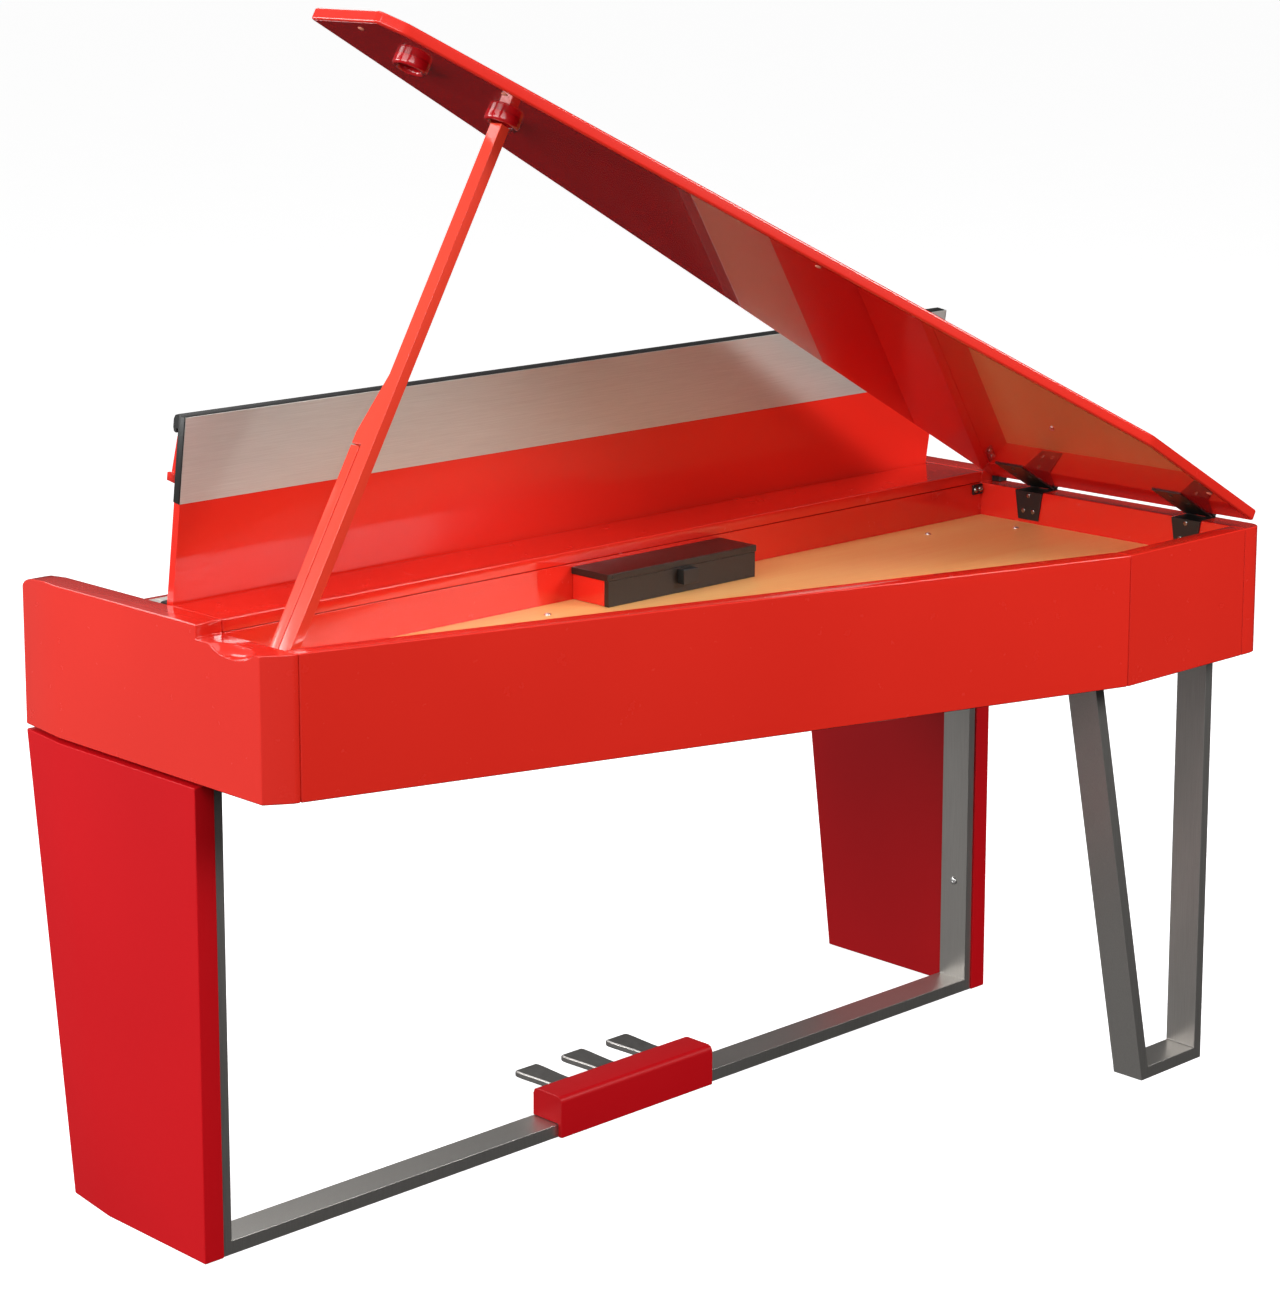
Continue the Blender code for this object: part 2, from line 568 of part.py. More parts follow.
def make_boards(parts, cutters):
    front_y = -HALF_DEPTH + KEY_SLIP_DEPTH + GAP
    bottom = outline("bottom_board", [inner_plan(front_y, GAP)], "Z", CASE_BOTTOM, FLOOR_OF_CASE, parts)
    for number, (x, y) in enumerate(SPEAKER_PLACES):
        mouth = cylinder("cut_speaker_mouth_%d" % (number + 1), (x, y, CASE_BOTTOM), (0, 0, 1),
                         SPEAKER_MOUTH, 0.1, cutters, 24)
        boolean(bottom, mouth)
    x, y = INLET_PLACE
    slot = box("cut_inlet_slot", (x - INLET_SIZE[0] / 2 - GAP, x + INLET_SIZE[0] / 2 + GAP),
               (y - INLET_SIZE[1] / 2 - GAP, y + INLET_SIZE[1] / 2 + GAP),
               (CASE_BOTTOM - 0.01, FLOOR_OF_CASE + 0.01), cutters)
    boolean(bottom, slot)
    finish(bottom, BLACK_SATIN)

    slip = box("key_slip", (-INNER_X + GAP, INNER_X - GAP), (-HALF_DEPTH, -HALF_DEPTH + KEY_SLIP_DEPTH),
               (CASE_BOTTOM, KEY_SLIP_TOP), parts)
    finish(slip, LACQUER, EDGE)
    beam = box("front_beam", (-INNER_X + GAP, INNER_X - GAP), (BEAM_FRONT_Y, SHELF_REAR_Y),
               (FLOOR_OF_CASE + GAP, SHELF_UNDER - GAP), parts)
    finish(beam, LACQUER)
    shelf = box("cover_shelf", (-INNER_X + GAP, INNER_X - GAP), (SHELF_FRONT_Y, SHELF_REAR_Y),
                (SHELF_UNDER, CHEEK_TOP), parts)
    finish(shelf, LACQUER, EDGE)

    low = SOUNDBOARD_TOP - SOUNDBOARD_THICKNESS
    board = outline("soundboard", [inner_plan(SHELF_REAR_Y + GAP, GAP)], "Z", low, SOUNDBOARD_TOP, parts)
    top = low - GAP
    z = (top - BATTEN_HEIGHT, top)
    strip = REAR_BATTEN_WIDTH
    inside = PANEL_WALL + GAP + strip
    front_y = SHELF_REAR_Y + GAP + BATTEN_WIDTH
    rear_y = HALF_DEPTH - inside
    treble_x = INNER_X - GAP - strip
    bass_x = -INNER_X + GAP + BATTEN_WIDTH
    hole = [(bass_x, front_y), (treble_x, front_y), (treble_x, long_side_y(treble_x, inside)),
            (long_side_x(rear_y, inside), rear_y), (bass_x, rear_y)]
    strips = outline("soundboard_battens", [inner_plan(SHELF_REAR_Y + GAP, GAP), hole], "Z",
                     z[0], z[1], parts)

    inset = BOARD_SCREW_INSET
    screws = ((TREBLE_SCREW_X, SHELF_REAR_Y + inset), (-INNER_X + BASS_SCREW_INSET, SHELF_REAR_Y + inset),
              (-INNER_X + inset, SHELF_REAR_Y + SIDE_SCREW_BACK))
    head = BOARD_SCREW_HEAD
    shank = SOUNDBOARD_THICKNESS + BATTEN_HEIGHT * 0.5

    def screw_holes(bm):
        for x, y in screws:
            reach = shank + 0.001
            add_cylinder(bm, (x, y, SOUNDBOARD_TOP - reach / 2 + 0.001), (0, 0, 1), BOARD_SCREW_SHANK + GAP,
                         reach + 0.002, 8)

    holes = mesh_object("cut_screw_holes", screw_holes, cutters)
    boolean(board, holes)
    boolean(strips, holes)
    finish(board, TAN_WOOD)
    finish(strips, RAW_WOOD)

    for number, (x, y) in enumerate(screws):
        name = "soundboard_screw_%d" % (number + 1)
        screw = cylinder(name, (x, y, SOUNDBOARD_TOP + GAP + head / 2), (0, 0, 1), BOARD_SCREW_HEAD_RADIUS,
                         head, parts, 12)
        top = SOUNDBOARD_TOP + GAP + head / 2
        bottom = SOUNDBOARD_TOP - shank
        body = cylinder("join_%s" % name, (x, y, (top + bottom) / 2), (0, 0, 1), BOARD_SCREW_SHANK,
                        top - bottom, cutters, 8)
        boolean(screw, body, "UNION")
        finish(screw, ALUMINIUM)


def sharp_places():
    """Centre of each black key, from the bass end."""
    pitch = KEYBOARD_WIDTH / WHITE_KEYS
    shift = {0: SHARP_SHIFT, 2: -SHARP_SHIFT, 3: SHARP_SHIFT, 5: -SHARP_SHIFT, 6: 0.0}
    places = []
    for index in range(WHITE_KEYS - 1):
        letter = index % 7
        if letter in shift:
            places.append(-KEYBOARD_WIDTH / 2 + (index + 1) * pitch + shift[letter])
    return places


def make_keyboard(parts, cutters):
    pitch = KEYBOARD_WIDTH / WHITE_KEYS
    under = KEY_UNDER
    pivot = (0.0, KEY_PIVOT_Y, KEY_TOP - KEY_PIVOT_DROP)

    comb = WHITE_COMB_DEPTH
    half = KEYBOARD_WIDTH / 2
    black_rear = KEY_REAR_Y - KEY_COMB_SPACE

    # A comb along the back joins the keys of each colour.
    def naturals(bm):
        for index in range(WHITE_KEYS):
            left = -KEYBOARD_WIDTH / 2 + index * pitch + KEY_SPACE / 2
            add_box(bm, (left, left + pitch - KEY_SPACE), (KEY_FRONT_Y, KEY_REAR_Y + comb / 2),
                    (under, KEY_TOP))

    def slots(bm):
        half = BLACK_KEY_WIDTH / 2 + BLACK_KEY_SLOT_SPACE
        for x in sharp_places():
            add_box(bm, (x - half, x + half), (BLACK_KEY_FRONT_Y - 0.002, KEY_REAR_Y),
                    (under - 0.01, KEY_TOP + 0.01))

    whites = mesh_object("white_keys", naturals, parts)
    boolean(whites, mesh_object("cut_black_key_slots", slots, cutters))
    rail = box("join_white_comb", (-half + KEY_SPACE / 2, half - KEY_SPACE / 2),
               (KEY_REAR_Y, KEY_REAR_Y + comb), (under, KEY_TOP), cutters)
    boolean(whites, rail, "UNION")
    for obj in (whites, rail):
        set_origin(obj, pivot)
    finish(whites, IVORY)

    body_top = KEY_TOP - GAP * 2
    comb_top = under - BLACK_COMB_DROP
    comb_low = comb_top - BLACK_COMB_HEIGHT
    profile = [(BLACK_KEY_FRONT_Y, under), (BLACK_KEY_FRONT_Y, KEY_TOP + BLACK_KEY_RISE * 0.6),
               (BLACK_KEY_FRONT_Y + BLACK_KEY_EASE, KEY_TOP + BLACK_KEY_RISE),
               (BLACK_KEY_CAP_REAR_Y, KEY_TOP + BLACK_KEY_RISE), (BLACK_KEY_CAP_REAR_Y, body_top),
               (black_rear, body_top), (black_rear, comb_low + 0.001),
               (black_rear - BLACK_COMB_DEPTH * 0.8, comb_low + 0.001),
               (black_rear - BLACK_COMB_DEPTH * 0.8, under)]
    pattern = outline("black_key_pattern", [profile], "X", -BLACK_KEY_WIDTH / 2, BLACK_KEY_WIDTH / 2, parts)

    def sharps(bm):
        for x in sharp_places():
            first = len(bm.verts)
            bm.from_mesh(pattern.data)
            bm.verts.ensure_lookup_table()
            bmesh.ops.translate(bm, verts=bm.verts[first:], vec=(x, 0.0, 0.0))

    blacks = mesh_object("black_keys", sharps, parts, pivot)
    bpy.data.objects.remove(pattern, do_unlink=True)
    places = sharp_places()
    rail = box("join_black_comb", (places[0] - 0.008, places[-1] + 0.008),
               (black_rear - BLACK_COMB_DEPTH, black_rear - KEY_COMB_SPACE), (comb_low, comb_top), cutters)
    set_origin(rail, pivot)
    boolean(blacks, rail, "UNION")
    finish(blacks, EBONY)

    base = FLOOR_OF_CASE + GAP
    plate = base + KEY_FRAME_PLATE
    rail = under - KEY_FRAME_RAIL_DROP
    front = KEY_FRONT_Y + KEY_FRAME_BACK
    front_rail = front + KEY_FRAME_RAIL_DEPTH
    ridge = black_rear - BLACK_COMB_DEPTH * 0.8
    step = KEY_REAR_Y + KEY_COMB_SPACE
    rear = KEY_REAR_Y + comb
    profile = [(front, base), (front, rail), (front_rail, rail), (front_rail, plate), (ridge, plate),
               (ridge, comb_low - GAP),
               (step, comb_low - GAP), (step + 0.001, under - GAP), (rear, under - GAP), (rear, base)]
    half = KEYBOARD_WIDTH / 2
    frame = outline("key_frame", [profile], "X", -half, half, parts)
    finish(frame, ALUMINIUM)

    inner = KEYBOARD_WIDTH / 2 + BLOCK_SPACE
    for name, side in (("treble_key_block", 1.0), ("bass_key_block", -1.0)):
        x = sorted((side * inner, side * (INNER_X - GAP)))
        block = box(name, x, (-HALF_DEPTH + KEY_SLIP_DEPTH + GAP, PANEL_REAR_Y),
                    (FLOOR_OF_CASE + GAP, BLOCK_TOP), parts)
        finish(block, LACQUER, EDGE)

    reach = inner - BLOCK_SPACE / 2
    panel = box("control_panel", (-reach, reach), (PANEL_FRONT_Y, PANEL_REAR_Y), (PANEL_UNDER, PANEL_TOP), parts)
    y = (PANEL_FRONT_Y + PANEL_REAR_Y) / 2
    well = CONTROL_WELL
    for name, x, radius in (("power", CONTROL_X, BUTTON_RADIUS), ("volume", -CONTROL_X, KNOB_RADIUS)):
        bore = cylinder("cut_%s_well" % name, (x, y, PANEL_TOP - well / 2 + 0.001), (0, 0, 1),
                        radius + GAP * 2, well + 0.002, cutters)
        boolean(panel, bore)
    finish(panel, BLACK_SATIN)

    floor = PANEL_TOP - well + BUTTON_TRAVEL_SPACE
    button = mesh_object("power_button", lambda bm: add_cylinder(
        bm, (CONTROL_X, y, (floor + PANEL_TOP + CONTROL_HEIGHT) / 2), (0, 0, 1), BUTTON_RADIUS,
        PANEL_TOP + CONTROL_HEIGHT - floor, 20), parts, (CONTROL_X, y, PANEL_TOP))
    finish(button, BLACK_SATIN)
    floor = PANEL_TOP - well + GAP
    knob = mesh_object("volume_knob", lambda bm: add_cylinder(
        bm, (-CONTROL_X, y, (floor + PANEL_TOP + CONTROL_HEIGHT * 2) / 2), (0, 0, 1), KNOB_RADIUS,
        PANEL_TOP + CONTROL_HEIGHT * 2 - floor, 24), parts, (-CONTROL_X, y, PANEL_TOP))
    finish(knob, BLACK_SATIN)


def pivot_empty(name, location, rotation, parts, parent=None):
    empty = bpy.data.objects.new(name, None)
    empty.empty_display_size = 0.03
    empty.location = location
    empty.rotation_euler = rotation
    parts.objects.link(empty)
    empty.parent = parent
    return empty


def make_cover(parts, cutters):
    """The cover's pieces are drawn upright about its hinge line, then lean back together."""
    axis = pivot_empty("cover_axis", (0.0, COVER_AXIS_Y, COVER_AXIS_Z),
                       (math.radians(-COVER_LEAN), 0.0, 0.0), parts)
    rear = COVER_AXIS_DROP
    front = rear - COVER_THICKNESS
    rebate = rear - STRIP_THICKNESS - GAP
    lip_low = COVER_LENGTH - LIP_HEIGHT
    half = COVER_HALF_WIDTH

    profile = [(front, -COVER_TAIL), (rear, -COVER_TAIL), (rear, STRIP_BOTTOM - GAP),
               (rebate, STRIP_BOTTOM - GAP), (rebate, lip_low - GAP), (front, lip_low - GAP)]
    board = outline("key_cover_board", [profile], "X", -half, half, parts)
    board.parent = axis
    out = front - LEDGE_AXIS_OUT
    ledge_half = half - LEDGE_END_SPACE
    inner = ledge_half + GAP
    ear = LEDGE_THICKNESS / 2 + 0.001
    for name, side in (("treble", 1.0), ("bass", -1.0)):
        low = half - 0.012
        high = INNER_X + COVER_PIN_REACH
        pin = cylinder("join_cover_pin_" + name, (side * (low + high) / 2, 0.0, 0.0), (1, 0, 0),
                       COVER_PIN_RADIUS, high - low, cutters, 12)
        pin.parent = axis
        boolean(board, pin, "UNION")
        x = sorted((side * inner, side * (half - GAP)))
        lug = box("join_ledge_lug_" + name, x, (out - ear, front + 0.002),
                  (LEDGE_AXIS_Z - ear, LEDGE_AXIS_Z + ear), cutters)
        lug.parent = axis
        boolean(board, lug, "UNION")
        bore = cylinder("cut_ledge_lug_" + name, (side * (inner - 0.001), out, LEDGE_AXIS_Z), (1, 0, 0),
                        LEDGE_PIN_RADIUS + GAP, 0.0076, cutters, 12)
        bore.parent = axis
        boolean(board, bore)
    finish(board, LACQUER)

    strip = box("cover_metal_strip", (-half, half), (rear - STRIP_THICKNESS, rear),
                (STRIP_BOTTOM, COVER_LENGTH - 0.0005), parts)
    strip.parent = axis
    finish(strip, NICKEL)

    top = COVER_LENGTH
    nose = front - LIP_NOSE
    under = top - LIP_NOSE_HEIGHT
    tuck = under + 0.006
    profile = [(rebate, lip_low), (rebate, top - 0.0015), (rebate - 0.0015, top),
               (nose + 0.008, top), (nose + 0.0025, top - 0.0025), (nose, top - 0.008),
               (nose, tuck), (nose + 0.0015, under + 0.0015), (nose + 0.004, under),
               (nose + 0.007, under), (nose + 0.007, tuck - 0.0005), (front, tuck - 0.0005),
               (front, lip_low)]
    lip = outline("cover_lip_profile", [profile], "X", -half, half, parts)
    lip.parent = axis
    finish(lip, BLACK_SATIN)

    ledge_axis = pivot_empty("ledge_axis", (0.0, out, LEDGE_AXIS_Z),
                             (math.radians(-LEDGE_TILT), 0.0, 0.0), parts, axis)
    thick = LEDGE_THICKNESS / 2
    ledge = box("music_ledge", (-ledge_half, ledge_half), (-thick, thick),
                (-thick, LEDGE_HEIGHT - thick), parts)
    ledge.parent = ledge_axis
    for name, side in (("treble", 1.0), ("bass", -1.0)):
        stub = cylinder("join_ledge_stub_" + name, (side * (ledge_half - 0.002), 0.0, 0.0), (1, 0, 0),
                        LEDGE_PIN_RADIUS, 0.0095, cutters, 12)
        stub.parent = ledge_axis
        boolean(ledge, stub, "UNION")
    finish(ledge, LACQUER)


def prop_reach():
    """Along the lid to the prop's foot, and the prop pin's distance from the lid's underside."""
    open_angle = math.radians(LID_OPEN)
    across = PROP_PIN_X - LID_AXIS_X
    drop = LID_AXIS_Z - PROP_PIN_Z
    along = across * math.cos(open_angle) - drop * math.sin(open_angle)
    away = across * math.sin(open_angle) + drop * math.cos(open_angle)
    return along, away - (LID_AXIS_Z - LID_UNDER)


def make_lid(parts, cutters):
    """The lid's pieces are drawn closed, about the hinge line, then open together."""
    axis = pivot_empty("lid_axis", (LID_AXIS_X, 0.0, LID_AXIS_Z),
                       (0.0, -math.radians(LID_OPEN), 0.0), parts)

    def place(obj):
        obj.data.transform(Matrix.Translation((-LID_AXIS_X, 0.0, -LID_AXIS_Z)))
        obj.parent = axis

    lid_front = SHELF_REAR_Y + LID_FRONT_SPACE
    plan = [(-HALF_WIDTH + LID_SPINE_INSET, lid_front), (HALF_WIDTH, lid_front),
            (HALF_WIDTH, CHAMFER_FRONT_Y), (CHAMFER_REAR_X, CHAMFER_REAR_Y),
            (TAIL_CORNER_X, HALF_DEPTH), (-HALF_WIDTH + LID_SPINE_INSET, HALF_DEPTH)]
    lid = outline("lid_panel", [plan], "Z", LID_UNDER, LID_UNDER + LID_THICKNESS, parts)
    place(lid)

    along, away = prop_reach()
    under = LID_UNDER - GAP
    for name, x, y in (("high_prop_cup", LID_AXIS_X + along, CUP_Y),
                       ("low_prop_cup", HALF_WIDTH - LOW_CUP_INSET, LOW_CUP_Y)):
        ring = outline(name, [[(x + u, y + v) for u, v in arc((0, 0), CUP_OUTER_RADIUS, 0, 345, 23)],
                              [(x + u, y + v) for u, v in arc((0, 0), CUP_INNER_RADIUS, 0, 345, 23)]],
                       "Z", under - CUP_HEIGHT, under, parts)
        place(ring)
        finish(ring, LACQUER_DARK)

    middle = PANEL_WALL / 2
    spots = [(HALF_WIDTH - WALL / 2, SHELF_REAR_Y + BUMPER_BACK)]
    for inset in LONG_BUMPER_INSETS:
        spots.append((HALF_WIDTH - inset, long_side_y(HALF_WIDTH - inset, middle)))
    spots.append((-HALF_WIDTH + TAIL_BUMPER_INSET, HALF_DEPTH - middle))

    for number, (x, y) in enumerate(spots):
        pad = cylinder("join_bumper_%d" % (number + 1), (x, y, LID_UNDER - BUMPER_HEIGHT / 2 + 0.001),
                       (0, 0, 1), BUMPER_RADIUS, BUMPER_HEIGHT + 0.002, cutters, 12)
        place(pad)
        boolean(lid, pad, "UNION")

    finish(lid, LACQUER)

    # Hinges: a case leaf folded over the spine, a lid leaf under the lid, one pin through both.
    lid_leaf = (under - HINGE_LEAF, under)
    case_leaf_top = lid_leaf[0] - GAP
    case_leaf = (case_leaf_top - HINGE_LEAF, case_leaf_top)
    knuckle = HINGE_LENGTH / 3
    barrel = [(LID_AXIS_X + u, LID_AXIS_Z + v) for u, v in arc((0, 0), HINGE_BARREL_RADIUS, 0, 337.5, 15)]
    bore = [(LID_AXIS_X + u, LID_AXIS_Z + v) for u, v in arc((0, 0), HINGE_PIN_RADIUS + GAP, 0, 330, 11)]
    wall = -INNER_X + GAP
    case_x = LID_AXIS_X - 0.0025
    lid_x = LID_AXIS_X + 0.002

    for name, middle in zip(("front", "rear"), HINGE_Y):
        low = middle - HINGE_LENGTH / 2
        high = middle + HINGE_LENGTH / 2
        plate = [(case_x, case_leaf[0]), (wall, case_leaf[0]), (wall, RIM_TOP - HINGE_DROP),
                 (wall + HINGE_LEAF, RIM_TOP - HINGE_DROP), (wall + HINGE_LEAF, case_leaf[1]),
                 (case_x, case_leaf[1])]
        leaf = outline("%s_hinge_case_leaf" % name, [plate], "Y", low, high, parts)
        for end, (start, stop) in enumerate(((low, low + knuckle), (high - knuckle, high))):
            ring = outline("join_%s_case_knuckle_%d" % (name, end), [barrel, bore], "Y", start, stop, cutters)
            riser = box("join_%s_case_riser_%d" % (name, end), (case_x, case_x + HINGE_LEAF),
                        (start, stop), (case_leaf[0] + 0.0005, LID_AXIS_Z - HINGE_PIN_RADIUS - 0.0009), cutters)
            boolean(leaf, ring, "UNION")
            boolean(leaf, riser, "UNION")
        finish(leaf, BLACK_SATIN)
        reach = LID_AXIS_X + HINGE_LID_REACH
        leaf = box("%s_hinge_lid_leaf" % name, (lid_x, reach), (low, high), lid_leaf, parts)
        start = low + knuckle + GAP
        stop = high - knuckle - GAP
        ring = outline("join_%s_lid_knuckle" % name, [barrel, bore], "Y", start, stop, cutters)
        riser = box("join_%s_lid_riser" % name, (lid_x, lid_x + HINGE_LEAF), (start, stop),
                    (lid_leaf[0] + 0.0005, LID_AXIS_Z - HINGE_PIN_RADIUS - 0.0009), cutters)
        boolean(leaf, ring, "UNION")
        boolean(leaf, riser, "UNION")
        for obj in (leaf, ring, riser):
            place(obj)
        finish(leaf, BLACK_SATIN)
        pin = cylinder("%s_hinge_pin" % name, (LID_AXIS_X, middle, LID_AXIS_Z), (0, 1, 0),
                       HINGE_PIN_RADIUS, HINGE_LENGTH, parts, 12)
        finish(pin, POLISHED)

    # Small fittings at the bass end of the shelf.
    corner = box("corner_plate", (-HALF_WIDTH + 0.0015, -HALF_WIDTH + LID_SPINE_INSET - 0.0015),
                 (SHELF_REAR_Y + EDGE + GAP, SHELF_REAR_Y + 0.017), (RIM_TOP + GAP, RIM_TOP + 0.012), parts)
    bracket = box("beam_bracket", (-INNER_X + 0.001, -INNER_X + 0.022),
                  (SHELF_REAR_Y + GAP, SHELF_REAR_Y + GAP + 0.003), (RIM_TOP - 0.016, RIM_TOP - 0.001), parts)
    finish(corner, BLACK_SATIN)
    finish(bracket, BLACK_SATIN)


def stick(name, plan, start, parts, cutters):
    """A prop stick, drawn upright over its pin, with a bore for the pin.

    The plan's points are (y, z); the foot is rounded about the pin.
    """
    half = PROP_THICKNESS / 2
    blank = outline(name, [plan], "X", -half, half, parts)
    low = min(point[0] for point in plan) - 0.01
    high = max(point[0] for point in plan) + 0.01
    top = max(point[1] for point in plan) + 0.01
    side = arc((0.0, 0.0), half, 180.0, 360.0, 10) + [(half, top), (-half, top)]
    trim = outline("cut_%s_foot" % name, [side], "Y", low, high, cutters)
    boolean(blank, trim, "INTERSECT")
    finish(blank, LACQUER, 0.0008)
    bore = cylinder("cut_%s_bore" % name, (0.0, (low + high) / 2, 0.0), (0, 1, 0),
                    PROP_PIN_RADIUS + GAP, high - low, cutters)
    boolean(blank, bore)
    lean = (0.0, -math.radians(LID_OPEN), 0.0)
    for obj in (blank, trim, bore):
        obj.location = (PROP_PIN_X, 0.0, PROP_PIN_Z)
        obj.rotation_euler = lean
    return blank


def make_prop(parts, cutters):
    along, away = prop_reach()
    foot = -PROP_THICKNESS / 2 - 0.001
    tip = away - GAP - CUP_HEIGHT - GAP
    wide = HALF_PROP_LENGTH + 0.002
    plan = [(PROP_Y[0], foot), (PROP_Y[1], foot), (PROP_Y[1], tip), (PROP_Y[0], tip),
            (PROP_Y[0], PROP_TAPER_END), (HALF_PROP_Y[0], wide + 0.015), (HALF_PROP_Y[0], wide),
            (PROP_Y[0], wide)]
    stick("prop_stick", plan, foot, parts, cutters)
    plan = [(HALF_PROP_Y[0], foot), (HALF_PROP_Y[1], foot), (HALF_PROP_Y[1], HALF_PROP_LENGTH),
            (HALF_PROP_Y[0], HALF_PROP_LENGTH)]
    stick("half_prop_stick", plan, foot, parts, cutters)

    low = HALF_PROP_Y[0] - GAP - PROP_EAR
    high = PROP_Y[1] + GAP + PROP_EAR
    wall = INNER_X - GAP
    base = wall - PROP_BRACKET_LEAF
    out = PROP_PIN_X - PROP_EAR_HEIGHT / 2
    plan = [(wall, low), (wall, high), (out, high), (out, high - PROP_EAR), (base, high - PROP_EAR),
            (base, low + PROP_EAR), (out, low + PROP_EAR), (out, low)]
    half = PROP_EAR_HEIGHT / 2
    bracket = outline("prop_bracket", [plan], "Z", PROP_PIN_Z - half, PROP_PIN_Z + half, parts)
    bore = cylinder("cut_prop_bracket_bore", (PROP_PIN_X, (low + high) / 2, PROP_PIN_Z), (0, 1, 0),
                    PROP_PIN_RADIUS + GAP, high - low + 0.02, cutters)
    boolean(bracket, bore)
    finish(bracket, BLACK_SATIN)
    pin = cylinder("prop_pin", (PROP_PIN_X, (low + high) / 2, PROP_PIN_Z), (0, 1, 0), PROP_PIN_RADIUS,
                   high - low, parts)
    finish(pin, POLISHED)


def make_module(parts):
    top = RIM_TOP - MODULE_TOP_DROP
    plate_under = top - MODULE_PLATE
    front = SHELF_REAR_Y + GAP
    x = (MODULE_X[0] + MODULE_INSET, MODULE_X[1] - MODULE_INSET)
    rear = MODULE_REAR_Y - 0.0005
    low = SOUNDBOARD_TOP + GAP
    body = box("module_body", x, (front, rear - MODULE_PANEL - GAP), (low, plate_under - GAP), parts)
    finish(body, LACQUER, 0.001)
    panel = box("module_rear_panel", x, (rear - MODULE_PANEL, rear), (low, plate_under - GAP), parts)
    finish(panel, BLACK_SATIN)
    plate = box("module_top_plate", MODULE_X, (front, MODULE_REAR_Y), (plate_under, top), parts)
    half = LATCH_SIZE[0] / 2
    high = plate_under - 0.002
    latch = box("module_latch", (LATCH_X - half, LATCH_X + half), (rear + GAP, rear + GAP + LATCH_SIZE[1]),
                (high - LATCH_SIZE[2], high), parts)
    finish(latch, BLACK_SATIN, 0.0008)
    finish(plate, BLACK_SATIN)


def make_electronics(parts, cutters):
    low = FLOOR_OF_CASE + GAP
    for name, (x, y) in zip(("treble_speaker", "bass_speaker"), SPEAKER_PLACES):
        neck = SPEAKER_RADIUS * 0.5
        shape = [(0.0, SPEAKER_DEPTH), (neck, SPEAKER_DEPTH), (neck, SPEAKER_DEPTH * 0.6),
                 (SPEAKER_RADIUS * 0.9, SPEAKER_FLANGE), (SPEAKER_RADIUS, SPEAKER_FLANGE),
                 (SPEAKER_RADIUS, 0.0), (0.0, 0.0)]
        mesh = bpy.data.meshes.new(name)
        mesh.from_pydata([(r, 0.0, z) for r, z in shape], [(i, i + 1) for i in range(len(shape) - 1)], [])
        speaker = bpy.data.objects.new(name, mesh)
        speaker.location = (x, y, low)
        parts.objects.link(speaker)
        turn = speaker.modifiers.new("turned", "SCREW")
        turn.steps = 24
        turn.render_steps = 24
        turn.use_merge_vertices = True
        turn.merge_threshold = 0.0001
        finish(speaker, BLACK_SATIN)

    x = (BOARD_X - BOARD_WIDTH / 2, BOARD_X + BOARD_WIDTH / 2)
    y = (SHELF_REAR_Y + BOARD_BACK - BOARD_DEPTH / 2, SHELF_REAR_Y + BOARD_BACK + BOARD_DEPTH / 2)
    board = box("main_board", x, y, (low + BOARD_RISE, low + BOARD_RISE + BOARD_THICKNESS), parts)

    def posts(bm):
        for post_x in (x[0] + POST_INSET, x[1] - POST_INSET):
            for post_y in (y[0] + POST_INSET, y[1] - POST_INSET):
                add_cylinder(bm, (post_x, post_y, low + (BOARD_RISE + BOARD_THICKNESS / 2) / 2), (0, 0, 1),
                             POST_RADIUS, BOARD_RISE + BOARD_THICKNESS / 2, 8)

    boolean(board, mesh_object("join_board_posts", posts, cutters), "UNION")
    finish(board, CIRCUIT)
    x = -HALF_WIDTH + SUPPLY_SIDE_IN
    y = HALF_DEPTH - SUPPLY_REAR_IN
    supply = box("power_supply", (x - SUPPLY_SIZE[0] / 2, x + SUPPLY_SIZE[0] / 2),
                 (y - SUPPLY_SIZE[1] / 2, y + SUPPLY_SIZE[1] / 2), (low, low + SUPPLY_SIZE[2]), parts)
    finish(supply, ALUMINIUM, 0.001)

    x, y = INLET_PLACE
    half_x = INLET_SIZE[0] / 2
    half_y = INLET_SIZE[1] / 2
    inlet = box("power_inlet", (x - half_x, x + half_x), (y - half_y, y + half_y),
                (CASE_BOTTOM, CASE_BOTTOM + INLET_SIZE[2]), parts)
    socket = box("cut_inlet_socket", (x - half_x + INLET_WALL, x + half_x - INLET_WALL),
                 (y - half_y + INLET_WALL, y + half_y - INLET_WALL),
                 (CASE_BOTTOM - 0.01, CASE_BOTTOM + INLET_SIZE[2] - INLET_WALL * 2), cutters)
    boolean(inlet, socket)
    finish(inlet, BLACK_SATIN)


